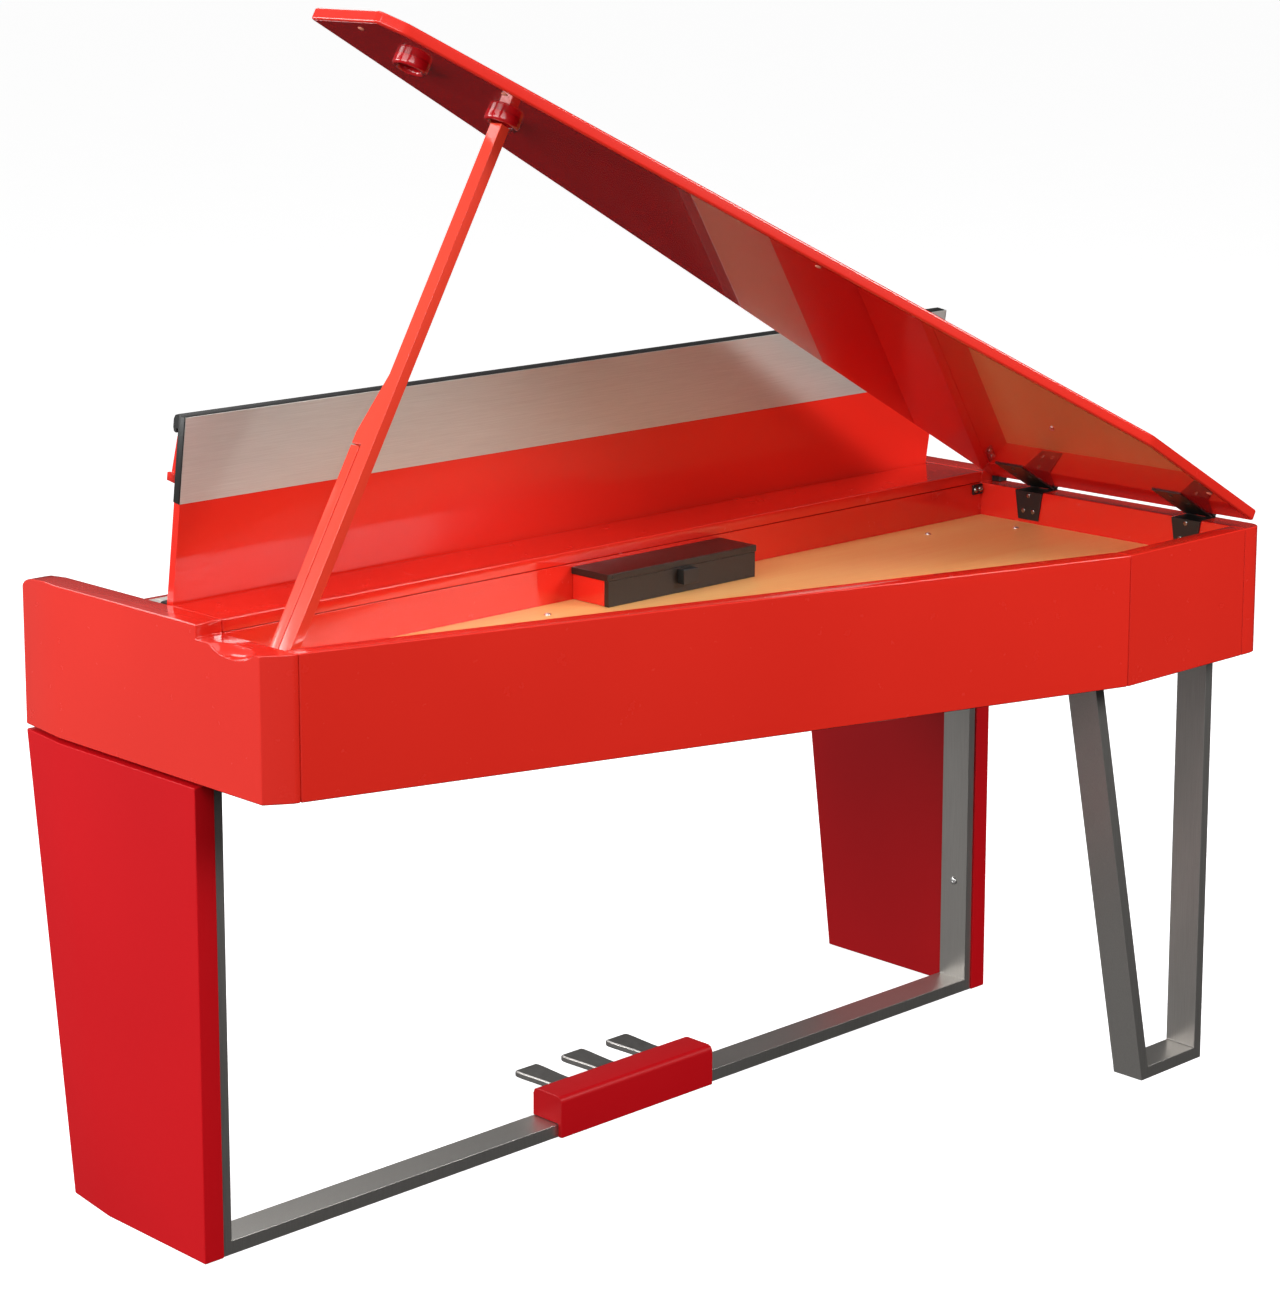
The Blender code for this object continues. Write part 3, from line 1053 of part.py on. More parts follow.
def make_legs(parts, cutters):
    top = CASE_BOTTOM - LEG_TOP_SPACE
    front = -HALF_DEPTH
    kink_top = flare_front_y()
    kink_bottom = LEG_FRONT_BOTTOM_Y + FLARE_DEPTH
    bar_top = CASE_BOTTOM - GAP
    frame_y = (FRAME_REAR_Y - FRAME_DEPTH, FRAME_REAR_Y)
    middle_y = sum(frame_y) / 2
    inner = FRAME_OUTER_X - FRAME_BAR
    screws = []
    bores = []
    for name, side in (("treble", 1.0), ("bass", -1.0)):
        shape = [(front, top), (LEG_FRONT_BOTTOM_Y, 0.0), (LEG_REAR_Y, 0.0), (LEG_REAR_Y, top)]
        x = sorted((side * (HALF_WIDTH - LEG_THICKNESS), side * HALF_WIDTH))
        leg = outline(name + "_leg_panel", [shape], "X", x[0], x[1], parts)

        # The front part of the outer face turns inward along a slanted line.
        a = Vector((side * HALF_WIDTH, kink_top, top))
        b = Vector((side * HALF_WIDTH, kink_bottom, 0.0))
        c = Vector((side * (HALF_WIDTH - FRONT_INSET), front, top))
        normal = (b - a).cross(c - a).normalized()
        if normal.x * side < 0:
            normal = -normal
        wedge = mesh_object("cut_%s_leg_flare" % name, lambda bm: bmesh.ops.create_cube(bm, size=2.0), cutters)
        turn = normal.to_track_quat("Z", "Y").to_matrix().to_4x4()
        wedge.matrix_world = Matrix.Translation(a + normal) @ turn
        boolean(leg, wedge)
        finish(leg, LACQUER_DARK, EDGE)

        holes = mesh_object("cut_%s_leg_screws" % name, lambda bm: [add_cylinder(
            bm, (side * (inner + (FRAME_BAR + LEG_SCREW_REACH) / 2), middle_y, z), (1, 0, 0),
            LEG_SCREW_SHANK + GAP * 2, FRAME_BAR + LEG_SCREW_REACH + 0.004, 12) for z in LEG_SCREW_Z], cutters)
        boolean(leg, holes)

        bores.append(holes)
        for z in LEG_SCREW_Z:
            screws.append((name, side, z))

    shape = [(-FRAME_OUTER_X, 0.0), (FRAME_OUTER_X, 0.0), (FRAME_OUTER_X, bar_top), (inner, bar_top),
             (inner, FLOOR_BAR_HEIGHT), (-inner, FLOOR_BAR_HEIGHT), (-inner, bar_top),
             (-FRAME_OUTER_X, bar_top)]
    frame = outline("leg_frame", [shape], "Y", frame_y[0], frame_y[1], parts)
    for holes in bores:
        boolean(frame, holes)
    finish(frame, SATIN_STEEL)

    for name, side, z in screws:
        x = side * (inner - GAP - LEG_SCREW_HEAD / 2)
        screw = cylinder(name + "_leg_screw", (x, middle_y, z), (1, 0, 0), LEG_SCREW_RADIUS,
                         LEG_SCREW_HEAD, parts, 12)
        start = inner - GAP - LEG_SCREW_HEAD / 2
        stop = inner + FRAME_BAR + LEG_SCREW_REACH
        shank = cylinder("join_%s_leg_screw" % name, (side * (start + stop) / 2, middle_y, z), (1, 0, 0),
                         LEG_SCREW_SHANK, stop - start, cutters, 12)
        boolean(screw, shank, "UNION")
        finish(screw, ALUMINIUM)

    low = TAIL_LEG_REAR_Y - FRAME_DEPTH
    upright_inner = TAIL_LEG_OUTER_X + TAIL_LEG_BAR
    lean = (SLANT_TOP_X - SLANT_FOOT_X) / bar_top
    shape = [(TAIL_LEG_OUTER_X, 0.0), (SLANT_FOOT_X, 0.0), (SLANT_TOP_X, bar_top),
             (SLANT_TOP_X - SLANT_BAR, bar_top),
             (SLANT_FOOT_X - SLANT_BAR + lean * FLOOR_BAR_HEIGHT, FLOOR_BAR_HEIGHT),
             (upright_inner, FLOOR_BAR_HEIGHT), (upright_inner, bar_top), (TAIL_LEG_OUTER_X, bar_top)]
    tail = outline("tail_leg", [shape], "Y", low, TAIL_LEG_REAR_Y, parts)
    finish(tail, SATIN_STEEL)


def make_pedals(parts, cutters):
    front = FRAME_REAR_Y - FRAME_DEPTH
    rear = FRAME_REAR_Y + GAP + PEDAL_BOX_REAR_WALL
    half = PEDAL_BOX_WIDTH / 2
    over = FLOOR_BAR_HEIGHT + GAP
    soft = PEDAL_BOX_ROUND
    shape = [(front, over), (front, PEDAL_BOX_TOP - soft), (front + soft * 0.3, PEDAL_BOX_TOP - soft * 0.3),
             (front + soft, PEDAL_BOX_TOP), (rear - soft, PEDAL_BOX_TOP),
             (rear - soft * 0.3, PEDAL_BOX_TOP - soft * 0.3), (rear, PEDAL_BOX_TOP - soft), (rear, 0.0),
             (FRAME_REAR_Y + GAP, 0.0), (FRAME_REAR_Y + GAP, over)]
    case = outline("pedal_box", [shape], "X", PEDAL_BOX_CENTRE_X - half, PEDAL_BOX_CENTRE_X + half, parts)
    room = PEDAL_WIDTH / 2 + PEDAL_CAVITY_SPACE
    names = ("right_pedal", "middle_pedal", "left_pedal")
    middles = [PEDAL_BOX_CENTRE_X + (1 - index) * PEDAL_PITCH for index in range(3)]

    def cavities(bm):
        for x in middles:
            add_box(bm, (x - room, x + room), (front - 0.01, rear - 0.010),
                    (PEDAL_CAVITY_UNDER, PEDAL_BOX_TOP - PEDAL_CAVITY_ROOF))

    boolean(case, mesh_object("cut_pedal_cavities", cavities, cutters))
    span = PEDAL_PITCH * 2 + PEDAL_WIDTH + PEDAL_AXLE_END * 2
    bore = cylinder("cut_pedal_axle_bore", (PEDAL_BOX_CENTRE_X, PEDAL_AXLE_Y, PEDAL_AXLE_Z), (1, 0, 0),
                    PEDAL_AXLE_RADIUS + GAP, span + 0.002, cutters, 12)
    boolean(case, bore)
    finish(case, LACQUER_DARK)

    axle = cylinder("pedal_axle", (PEDAL_BOX_CENTRE_X, PEDAL_AXLE_Y, PEDAL_AXLE_Z), (1, 0, 0),
                    PEDAL_AXLE_RADIUS, span, parts, 12)
    finish(axle, POLISHED)

    for name, x in zip(names, middles):
        tip = PEDAL_WIDTH / 2
        neck = PEDAL_NECK / 2
        end = PEDAL_AXLE_Y + 0.006
        round_y = PEDAL_TIP_Y + tip * 0.8
        plan = [(x - neck, end), (x + neck, end), (x + neck, round_y + 0.045), (x + tip, round_y + 0.012),
                (x + tip, round_y)]
        plan += [(x + tip * math.cos(math.radians(a)), round_y - tip * 0.8 * math.sin(math.radians(a)))
                 for a in (22.5, 45.0, 67.5, 90.0, 112.5, 135.0, 157.5)]
        plan += [(x - tip, round_y), (x - tip, round_y + 0.012), (x - neck, round_y + 0.045)]
        low = PEDAL_AXLE_Z - PEDAL_THICKNESS / 2
        pedal = outline(name, [plan], "Z", low, low + PEDAL_THICKNESS, parts)
        hole = cylinder("cut_%s_bore" % name, (x, PEDAL_AXLE_Y, PEDAL_AXLE_Z), (1, 0, 0),
                        PEDAL_AXLE_RADIUS + GAP, PEDAL_WIDTH, cutters, 12)
        set_origin(pedal, (x, PEDAL_AXLE_Y, PEDAL_AXLE_Z))
        finish(pedal, POLISHED, 0.001)
        boolean(pedal, hole)


def build():
    clear_scene()
    parts = new_collection("digital_grand_piano")
    cutters = new_collection("digital_grand_piano_cutters")
    make_sides(parts, cutters)
    make_boards(parts, cutters)
    make_keyboard(parts, cutters)
    make_cover(parts, cutters)
    make_lid(parts, cutters)
    make_prop(parts, cutters)
    make_module(parts)
    make_electronics(parts, cutters)
    make_legs(parts, cutters)
    make_pedals(parts, cutters)
    bpy.context.view_layer.update()


build()
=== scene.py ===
# %% [markdown]
# # A red digital grand piano
# The instrument stands with its lid on the long prop and its key cover leaning back.
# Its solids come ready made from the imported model, so that is loaded first. Everything
# after this cell gives those solids their rounded edges, small fittings and finishes.

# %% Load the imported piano
import json
import math

import bmesh
import bpy
from mathutils import Matrix, Vector


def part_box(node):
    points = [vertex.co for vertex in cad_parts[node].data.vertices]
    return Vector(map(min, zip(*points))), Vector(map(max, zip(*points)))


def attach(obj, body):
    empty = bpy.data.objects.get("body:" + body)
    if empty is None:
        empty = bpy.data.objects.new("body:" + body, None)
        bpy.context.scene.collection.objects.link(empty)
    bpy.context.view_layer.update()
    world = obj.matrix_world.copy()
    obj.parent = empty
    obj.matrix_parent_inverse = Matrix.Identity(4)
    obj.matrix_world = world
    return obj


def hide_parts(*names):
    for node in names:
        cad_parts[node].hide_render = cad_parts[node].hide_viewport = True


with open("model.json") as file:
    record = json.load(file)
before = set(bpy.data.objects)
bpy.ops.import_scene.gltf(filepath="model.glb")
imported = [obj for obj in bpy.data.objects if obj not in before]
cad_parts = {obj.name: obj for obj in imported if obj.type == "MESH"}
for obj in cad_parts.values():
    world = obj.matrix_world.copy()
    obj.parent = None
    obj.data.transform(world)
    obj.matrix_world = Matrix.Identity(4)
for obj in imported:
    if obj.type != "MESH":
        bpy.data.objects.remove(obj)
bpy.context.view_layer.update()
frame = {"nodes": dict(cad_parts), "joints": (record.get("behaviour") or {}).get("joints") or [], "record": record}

record = frame["record"]
body_of = {node: body for body, nodes in record["behaviour"]["bodies"].items() for node in nodes}
pivots = {joint["name"]: joint for joint in frame["joints"]}

# %% [markdown]
# ## The camera
# The photograph looks down on the tail side from a little above the case. The lens is long,
# so that the far leg is hardly smaller than the near one. The values were fitted to the
# corners of the case, the lid and the legs. The shift is small and only frames the picture.
# White has to stay white and red has to stay red, so the plain view transform is used.

# %% Camera
lens = bpy.data.cameras.new("camera")
lens.lens = 91.88
lens.sensor_width = 36.0
lens.shift_y = -0.1586
lens.clip_start = 0.1
lens.clip_end = 300.0
camera = bpy.data.objects.new("camera", lens)
camera.location = (3.0053, 3.0539, 1.7034)
camera.rotation_euler = (math.radians(80.0), math.radians(-0.069), math.radians(135.960))
bpy.context.scene.collection.objects.link(camera)
bpy.context.scene.camera = camera
bpy.context.scene.view_settings.view_transform = "Standard"
print("camera at", [round(c, 3) for c in camera.location], "lens", round(lens.lens, 2))

# %% [markdown]
# ## Node materials
# Every finish here is built from nodes on the Principled shader. A few short helpers keep
# the recipes readable: one makes the material, one lays a noise in metres over the piece,
# one turns a noise into two close colours, and one turns it into tiny dents.

# %% Material helpers
def new_finish(name, **values):
    """A material whose shader sockets are set by name, with Object coordinates at hand."""
    finish = bpy.data.materials.new(name)
    finish.use_nodes = True
    tree = finish.node_tree
    shader = tree.nodes["Principled BSDF"]
    for socket, value in values.items():
        shader.inputs[socket.replace("_", " ")].default_value = value
    coords = tree.nodes.new("ShaderNodeTexCoord")
    return finish, tree, shader, coords.outputs["Object"]


def noise(tree, coords, scale, detail=3.0, roughness=0.5, stretch=(1.0, 1.0, 1.0), distortion=0.0):
    """Noise with scale bumps to the metre, stretched along the axes."""
    mapping = tree.nodes.new("ShaderNodeMapping")
    mapping.inputs["Scale"].default_value = stretch
    tree.links.new(coords, mapping.inputs["Vector"])
    texture = tree.nodes.new("ShaderNodeTexNoise")
    texture.inputs["Scale"].default_value = scale
    texture.inputs["Detail"].default_value = detail
    texture.inputs["Roughness"].default_value = roughness
    texture.inputs["Distortion"].default_value = distortion
    tree.links.new(mapping.outputs["Vector"], texture.inputs["Vector"])
    return texture.outputs["Fac"]


def two_tones(tree, value, dark, light, low=0.3, high=0.7):
    """Two close colours, mixed by a noise."""
    ramp = tree.nodes.new("ShaderNodeValToRGB")
    ramp.color_ramp.elements[0].position = low
    ramp.color_ramp.elements[0].color = (*dark, 1.0)
    ramp.color_ramp.elements[1].position = high
    ramp.color_ramp.elements[1].color = (*light, 1.0)
    tree.links.new(value, ramp.inputs["Fac"])
    return ramp.outputs["Color"]


def between(tree, value, low, high):
    """A noise spread between two numbers."""
    spread = tree.nodes.new("ShaderNodeMapRange")
    spread.inputs["To Min"].default_value = low
    spread.inputs["To Max"].default_value = high
    tree.links.new(value, spread.inputs["Value"])
    return spread.outputs["Result"]


def dents(tree, value, depth, shader, strength=1.0, socket="Normal"):
    """Tiny dents of that depth in metres."""
    bump = tree.nodes.new("ShaderNodeBump")
    bump.inputs["Distance"].default_value = depth
    bump.inputs["Strength"].default_value = strength
    tree.links.new(value, bump.inputs["Height"])
    tree.links.new(bump.outputs["Normal"], shader.inputs[socket])


# %% [markdown]
# ## Lacquer
# The case is sprayed with red lacquer, polished until it mirrors the room. One glossy layer
# could stand for it, but it would either spread the light or mirror it. A rougher red base
# under a clear coat does both, which gives the depth. The coat is almost smooth, with the
# slow waves that polishing leaves, and the red shifts very slightly over a panel. The cover
# and the legs are duller, so their coats are weaker and rougher.

# %% Red lacquers
TONES_PER_METRE = 2.2
HAZE_PER_METRE = 38.0
WAVES_PER_METRE = 70.0
WAVE_STRENGTH = 0.05


def lacquer(name, dark, light, base_roughness, coat, coat_roughness, wave):
    """Red under a clear coat whose waves have that height in metres."""
    finish, tree, shader, coords = new_finish(
        name, Coat_Weight=coat, Coat_Roughness=coat_roughness, Coat_IOR=1.5, Specular_IOR_Level=0.2)
    tone = noise(tree, coords, TONES_PER_METRE, 2.0)
    tree.links.new(two_tones(tree, tone, dark, light), shader.inputs["Base Color"])
    haze = noise(tree, coords, HAZE_PER_METRE, 4.0, 0.6)
    tree.links.new(between(tree, haze, *base_roughness), shader.inputs["Roughness"])
    peel = noise(tree, coords, WAVES_PER_METRE, 1.0)
    dents(tree, peel, wave, shader, WAVE_STRENGTH, "Coat Normal")
    return finish


case_red = lacquer("case_lacquer", (0.720, 0.0210, 0.0110), (0.780, 0.0255, 0.0135),
                   (0.22, 0.30), 1.0, 0.03, 0.00005)
# The lid's red is the case red made darker. It is painted shade for the lid's underside and the cups under it.
shaded_lid_red = lacquer("lid_lacquer", (0.450, 0.0015, 0.0050), (0.510, 0.0025, 0.0070),
                  (0.20, 0.28), 1.0, 0.015, 0.00004)
cover_red = lacquer("cover_lacquer", (0.720, 0.0210, 0.0110), (0.780, 0.0255, 0.0135),
                    (0.26, 0.34), 0.22, 0.08, 0.00005)
prop_red = lacquer("prop_lacquer", (0.780, 0.0480, 0.0220), (0.840, 0.0560, 0.0260),
                   (0.26, 0.34), 1.0, 0.10, 0.00005)
leg_red = lacquer("satin_lacquer", (0.540, 0.0020, 0.0060), (0.600, 0.0030, 0.0075),
                  (0.42, 0.54), 0.12, 0.30, 0.00006)
print("lacquers", [finish.name for finish in (case_red, shaded_lid_red, cover_red, prop_red, leg_red)])

# %% [markdown]
# ## Metals
# The frame bars are satin steel with a slightly warm tone, the strip on the key cover is
# nickel that was brushed along its length, and the pedals are smoother. Brushing could be a
# picture of strokes. Here it is a noise that is stretched about eighty times along the
# stroke, in colour, roughness and height alike, which needs no picture and no unwrapping.

# %% Metal finishes
STROKE_STRETCH = 0.012


def brushed(name, dark, light, roughness, along, depth, scale=900.0, metallic=1.0):
    """Metal that was brushed along one axis."""
    finish, tree, shader, coords = new_finish(name, Metallic=metallic)
    stretch = [1.0, 1.0, 1.0]
    stretch["XYZ".index(along)] = STROKE_STRETCH
    strokes = noise(tree, coords, scale, 5.0, 0.65, stretch)
    tree.links.new(two_tones(tree, strokes, dark, light, 0.25, 0.75), shader.inputs["Base Color"])
    tree.links.new(between(tree, strokes, *roughness), shader.inputs["Roughness"])
    dents(tree, strokes, depth, shader, 0.5)
    return finish


def plain_metal(name, dark, light, roughness, grain=260.0, depth=0.00003):
    """Metal with a fine even grain."""
    finish, tree, shader, coords = new_finish(name, Metallic=1.0)
    cast = noise(tree, coords, grain, 4.0, 0.6)
    tree.links.new(two_tones(tree, cast, dark, light), shader.inputs["Base Color"])
    tree.links.new(between(tree, cast, *roughness), shader.inputs["Roughness"])
    dents(tree, cast, depth, shader, 0.3)
    return finish


strip_nickel = brushed("brushed_nickel", (0.56, 0.58, 0.54), (0.70, 0.73, 0.69),
                       (0.40, 0.50), "X", 0.00002, 1400.0, 0.6)
bar_steel = brushed("satin_steel", (0.44, 0.42, 0.395), (0.58, 0.56, 0.53),
                    (0.34, 0.44), "Z", 0.00001, 1600.0, 0.9)
pedal_metal = plain_metal("polished_pedal", (0.42, 0.40, 0.38), (0.52, 0.50, 0.48), (0.30, 0.38), 90.0)
bright_zinc = plain_metal("bright_zinc", (0.82, 0.82, 0.81), (0.92, 0.92, 0.91), (0.30, 0.40), 700.0)
pin_steel = plain_metal("pin_steel", (0.28, 0.27, 0.26), (0.38, 0.37, 0.36), (0.20, 0.30), 600.0)
rail_metal = plain_metal("rail_metal", (0.42, 0.42, 0.43), (0.52, 0.52, 0.53), (0.32, 0.42), 300.0)
print("brushed", strip_nickel.name, bar_steel.name, "and plain", pedal_metal.name)

# %% [markdown]
# ## Wood
# The soundboard is a light orange veneer whose grain runs along the keyboard. One long noise
# makes its bands and a finer one its pores, and the mix of the two chooses the colour. A
# picture of veneer would show its repeats on a board of this size.

# %% Wood
def tonewood(name, dark, light, pores, roughness):
    """Veneer with its grain along X, and pores of that depth in metres."""
    finish, tree, shader, coords = new_finish(name, Coat_Weight=0.15, Coat_Roughness=0.35)
    bands = noise(tree, coords, 14.0, 4.0, 0.55, (0.10, 1.0, 1.0), 0.6)
    fine = noise(tree, coords, 220.0, 5.0, 0.65, (0.035, 1.0, 1.0), 0.2)
    mixed = tree.nodes.new("ShaderNodeMix")
    mixed.data_type = "FLOAT"
    mixed.inputs["Factor"].default_value = 0.42
    tree.links.new(bands, mixed.inputs["A"])
    tree.links.new(fine, mixed.inputs["B"])
    tree.links.new(two_tones(tree, mixed.outputs["Result"], dark, light, 0.32, 0.68),
                   shader.inputs["Base Color"])
    tree.links.new(between(tree, fine, *roughness), shader.inputs["Roughness"])
    dents(tree, fine, pores, shader, 0.5)
    return finish


soundboard_wood = tonewood("soundboard_veneer", (0.95, 0.450, 0.140), (1.0, 0.620, 0.230),
                           0.00004, (0.40, 0.52))
raw_wood = tonewood("raw_spruce", (0.42, 0.27, 0.14), (0.55, 0.38, 0.21), 0.00015, (0.55, 0.7))
print("woods", soundboard_wood.name, raw_wood.name)

# %% [markdown]
# ## Black parts and keys
# Paint, plastic, rubber and paper differ here mostly in how rough they are and in how coarse
# their grain is, so one recipe serves for all of them.

# %% Black parts, keys and small finishes
def moulded(name, dark, light, roughness, grain, depth, **values):
    """Plastic, paint or rubber with a fine grain."""
    finish, tree, shader, coords = new_finish(name, **values)
    texture = noise(tree, coords, grain, 3.0, 0.6)
    tree.links.new(two_tones(tree, texture, dark, light), shader.inputs["Base Color"])
    tree.links.new(between(tree, texture, *roughness), shader.inputs["Roughness"])
    dents(tree, texture, depth, shader, 0.4)
    return finish


black_satin = moulded("black_satin", (0.010, 0.010, 0.010), (0.016, 0.016, 0.015),
                      (0.34, 0.46), 900.0, 0.00003)
black_plate = moulded("black_plate", (0.012, 0.010, 0.009), (0.020, 0.015, 0.012),
                      (0.30, 0.38), 60.0, 0.00001)
black_panel = moulded("black_panel", (0.014, 0.010, 0.008), (0.022, 0.016, 0.012),
                      (0.38, 0.50), 500.0, 0.00004)
board_black = moulded("painted_board", (0.012, 0.012, 0.012), (0.022, 0.021, 0.020),
                      (0.60, 0.75), 350.0, 0.00015)
ivory = moulded("key_white", (0.78, 0.76, 0.70), (0.84, 0.825, 0.77), (0.16, 0.24), 120.0, 0.00001,
                Coat_Weight=0.3, Subsurface_Weight=0.05)
ebony = moulded("key_black", (0.008, 0.008, 0.008), (0.014, 0.014, 0.014), (0.26, 0.38), 700.0, 0.00003)
pale_rubber = moulded("pale_rubber", (0.62, 0.22, 0.14), (0.70, 0.28, 0.19), (0.5, 0.65), 500.0, 0.00006)
cone_paper = moulded("cone_paper", (0.020, 0.020, 0.021), (0.045, 0.044, 0.043),
                     (0.65, 0.85), 420.0, 0.00030)
soft_rubber = moulded("roll_rubber", (0.012, 0.012, 0.012), (0.020, 0.020, 0.020),
                      (0.45, 0.6), 600.0, 0.00004)
circuit = moulded("circuit_board", (0.012, 0.11, 0.04), (0.018, 0.15, 0.055), (0.35, 0.5), 240.0, 0.00003)
print("finishes", len(bpy.data.materials))

# %% [markdown]
# ## Turning solids into finished pieces
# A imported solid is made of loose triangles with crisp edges. A copy is merged and its flat
# faces made whole, and then there are two ways to round it. Where the solid already has a
# narrow chamfer, weighted normals make the chamfer shade like a radius. Where it has none,
# a Bevel modifier adds the radius.

# %% Making, easing and repainting pieces
MERGE_WITHIN = 0.00001
FLAT_WITHIN = math.radians(0.4)


def packed_copy(node):
    """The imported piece's mesh with its triangles merged into whole faces."""
    bm = bmesh.new()
    bm.from_mesh(frame["nodes"][node].data)
    bmesh.ops.remove_doubles(bm, verts=bm.verts, dist=MERGE_WITHIN)
    bmesh.ops.dissolve_limit(bm, angle_limit=FLAT_WITHIN, verts=bm.verts, edges=bm.edges)
    return bm


def show(bm, name, finish, like, replace=False, sharp=50.0, body=None):
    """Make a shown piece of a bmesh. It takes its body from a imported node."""
    mesh = bpy.data.meshes.new(name)
    bm.to_mesh(mesh)
    bm.free()
    mesh.shade_smooth()
    if sharp:
        mesh.set_sharp_from_angle(angle=math.radians(sharp))
    mesh.materials.clear()
    mesh.materials.append(finish)
    piece = bpy.data.objects.new(name, mesh)
    bpy.context.scene.collection.objects.link(piece)
    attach(piece, body or body_of[like])
    if replace:
        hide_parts(like)
    return piece


def even_normals(piece):
    """Let the large faces decide the shading, so that narrow chamfers look round."""
    weigh = piece.modifiers.new("even_normals", "WEIGHTED_NORMAL")
    weigh.keep_sharp = True


def ease(node, finish, width=0.0, segments=2, angle=50.0, clamp=True, shape=None):
    """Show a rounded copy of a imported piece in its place, or of a shape made from it."""
    piece = show(shape or packed_copy(node), node + "_eased", finish, node, True, 0.0 if width else 50.0)
    if width:
        edges = piece.modifiers.new("eased_edges", "BEVEL")
        edges.width = width
        edges.segments = segments
        edges.limit_method = "ANGLE"
        edges.angle_limit = math.radians(angle)
        edges.use_clamp_overlap = clamp
    even_normals(piece)


def repaint(finish, *nodes):
    """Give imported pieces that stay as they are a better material."""
    for name in nodes:
        node = frame["nodes"][name]
        if not node.material_slots:
            node.data.materials.append(finish)
        for slot in node.material_slots:
            slot.material = finish


print("packed pieces", len(frame["nodes"]))

# %% [markdown]
# ## The case
# Two thick sides, a long slanted panel and a short tail panel make the rim. All have small
# chamfers in the solids already, so they only need weighted normals for their bright edges.
# A bevel on top of the chamfers would double them. The front beam gets a small radius.

# %% Case, shelf, beam and key slip
for node in ("treble_cheek", "bass_side_panel", "long_rear_panel", "tail_panel", "key_slip",
             "cover_shelf", "treble_key_block", "bass_key_block"):
    ease(node, case_red)
ease("front_beam", case_red, 0.0006)
repaint(board_black, "bottom_board")
repaint(soundboard_wood, "soundboard")
repaint(raw_wood, "soundboard_battens")

# %% [markdown]
# ## Screws
# The soundboard is held by bright screws with domed heads. A head could be a squeezed
# sphere, but a profile that is spun round an axis gives the rolled rim and the round socket
# in one body, as on a lathe, so turned pieces here are made so.

# %% Turned pieces
TURN_STEPS = 32


def turned(profile, steps=TURN_STEPS, closed=True):
    """Spin a profile of (radius, height) pairs round Z into a closed body."""
    bm = bmesh.new()
    verts = [bm.verts.new((r, 0.0, z)) for r, z in profile]
    edges = [bm.edges.new(pair) for pair in zip(verts, verts[1:])]
    if closed:
        edges.append(bm.edges.new((verts[-1], verts[0])))
    bmesh.ops.spin(bm, geom=verts + edges, cent=(0, 0, 0), axis=(0, 0, 1), angle=2 * math.pi,
                   steps=steps, use_merge=True, use_duplicate=False)
    bmesh.ops.remove_doubles(bm, verts=bm.verts, dist=0.000001)
    bmesh.ops.recalc_face_normals(bm, faces=bm.faces)
    return bm


def aimed(bm, point, normal):
    """Stand a turned piece on a point, with its top along a normal."""
    turn = Vector(normal).to_track_quat("Z", "Y").to_matrix().to_4x4()
    bmesh.ops.transform(bm, matrix=Matrix.Translation(point) @ turn, verts=bm.verts)
    return bm


print("faces round a turned piece", TURN_STEPS)

# %% Screw heads
def domed_screw(radius, height, socket, depth, shank=0.0):
    """A domed head that stands on Z 0, with a socket and, if asked, a shank below."""
    rim = height * 0.35
    profile = [(0.0, height - depth), (socket, height - depth), (socket, height),
               (radius * 0.55, height * 0.93), (radius * 0.82, height * 0.70), (radius * 0.97, rim),
               (radius, rim * 0.5), (radius * 0.97, 0.0)]
    if shank:
        profile += [(shank, 0.0), (shank, -0.010)]
    profile.append((0.0, profile[-1][1]))
    return turned(profile, 24, closed=False)


HEAD_SPACE = 0.0002
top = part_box("soundboard")[1].z
for number in (1, 2, 3):
    node = "soundboard_screw_%d" % number
    low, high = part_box(node)
    middle = (low + high) / 2
    screw = domed_screw(0.0045, 0.0026, 0.0014, 0.0012, shank=0.0019)
    show(aimed(screw, (middle.x, middle.y, top + HEAD_SPACE), (0, 0, 1)),
         node + "_domed", bright_zinc, node, True)
print("soundboard top", round(top, 4))

# %% [markdown]
# ## The lid
# The lid is one thick lacquered board with softly rounded edges. Its outline is the largest
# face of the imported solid, so that face is kept, pushed to the lid's thickness and bevelled
# all round. The hinge line comes from the record's joint, and the opening angle is the one
# that the solid was built with.

# %% Lid panel
OPEN = math.radians(29.4)
hinge = Vector(pivots["lid_hinge"]["pos_m"])
lid_place = Matrix.Translation(hinge) @ Matrix.Rotation(-OPEN, 4, "Y")
lid_up = (lid_place.to_3x3() @ Vector((0, 0, 1))).normalized()
SAME_WAY = 0.99
STEEP = math.radians(60.0)
print("lid faces", [round(c, 3) for c in lid_up])


def lid_sheet():
    """The lid's top face alone."""
    sheet = packed_copy("lid_panel")
    faces_up = [face for face in sheet.faces if face.normal.dot(lid_up) > SAME_WAY]
    top_face = max(faces_up, key=lambda face: face.calc_area())
    bmesh.ops.delete(sheet, geom=[face for face in sheet.faces if face is not top_face], context="FACES")
    return sheet


def thicken(bm, push):
    """Push a flat sheet along a vector, so that it becomes a closed board."""
    pushed = bmesh.ops.extrude_face_region(bm, geom=bm.faces[:])
    moved = [item for item in pushed["geom"] if isinstance(item, bmesh.types.BMVert)]
    bmesh.ops.translate(bm, verts=moved, vec=push)
    bmesh.ops.recalc_face_normals(bm, faces=bm.faces)


def soften(bm, edges, radius, segments):
    """Round the given edges."""
    bmesh.ops.bevel(bm, geom=edges, offset=radius, offset_type="OFFSET", segments=segments, profile=0.5,
                    affect="EDGES", material=-1)


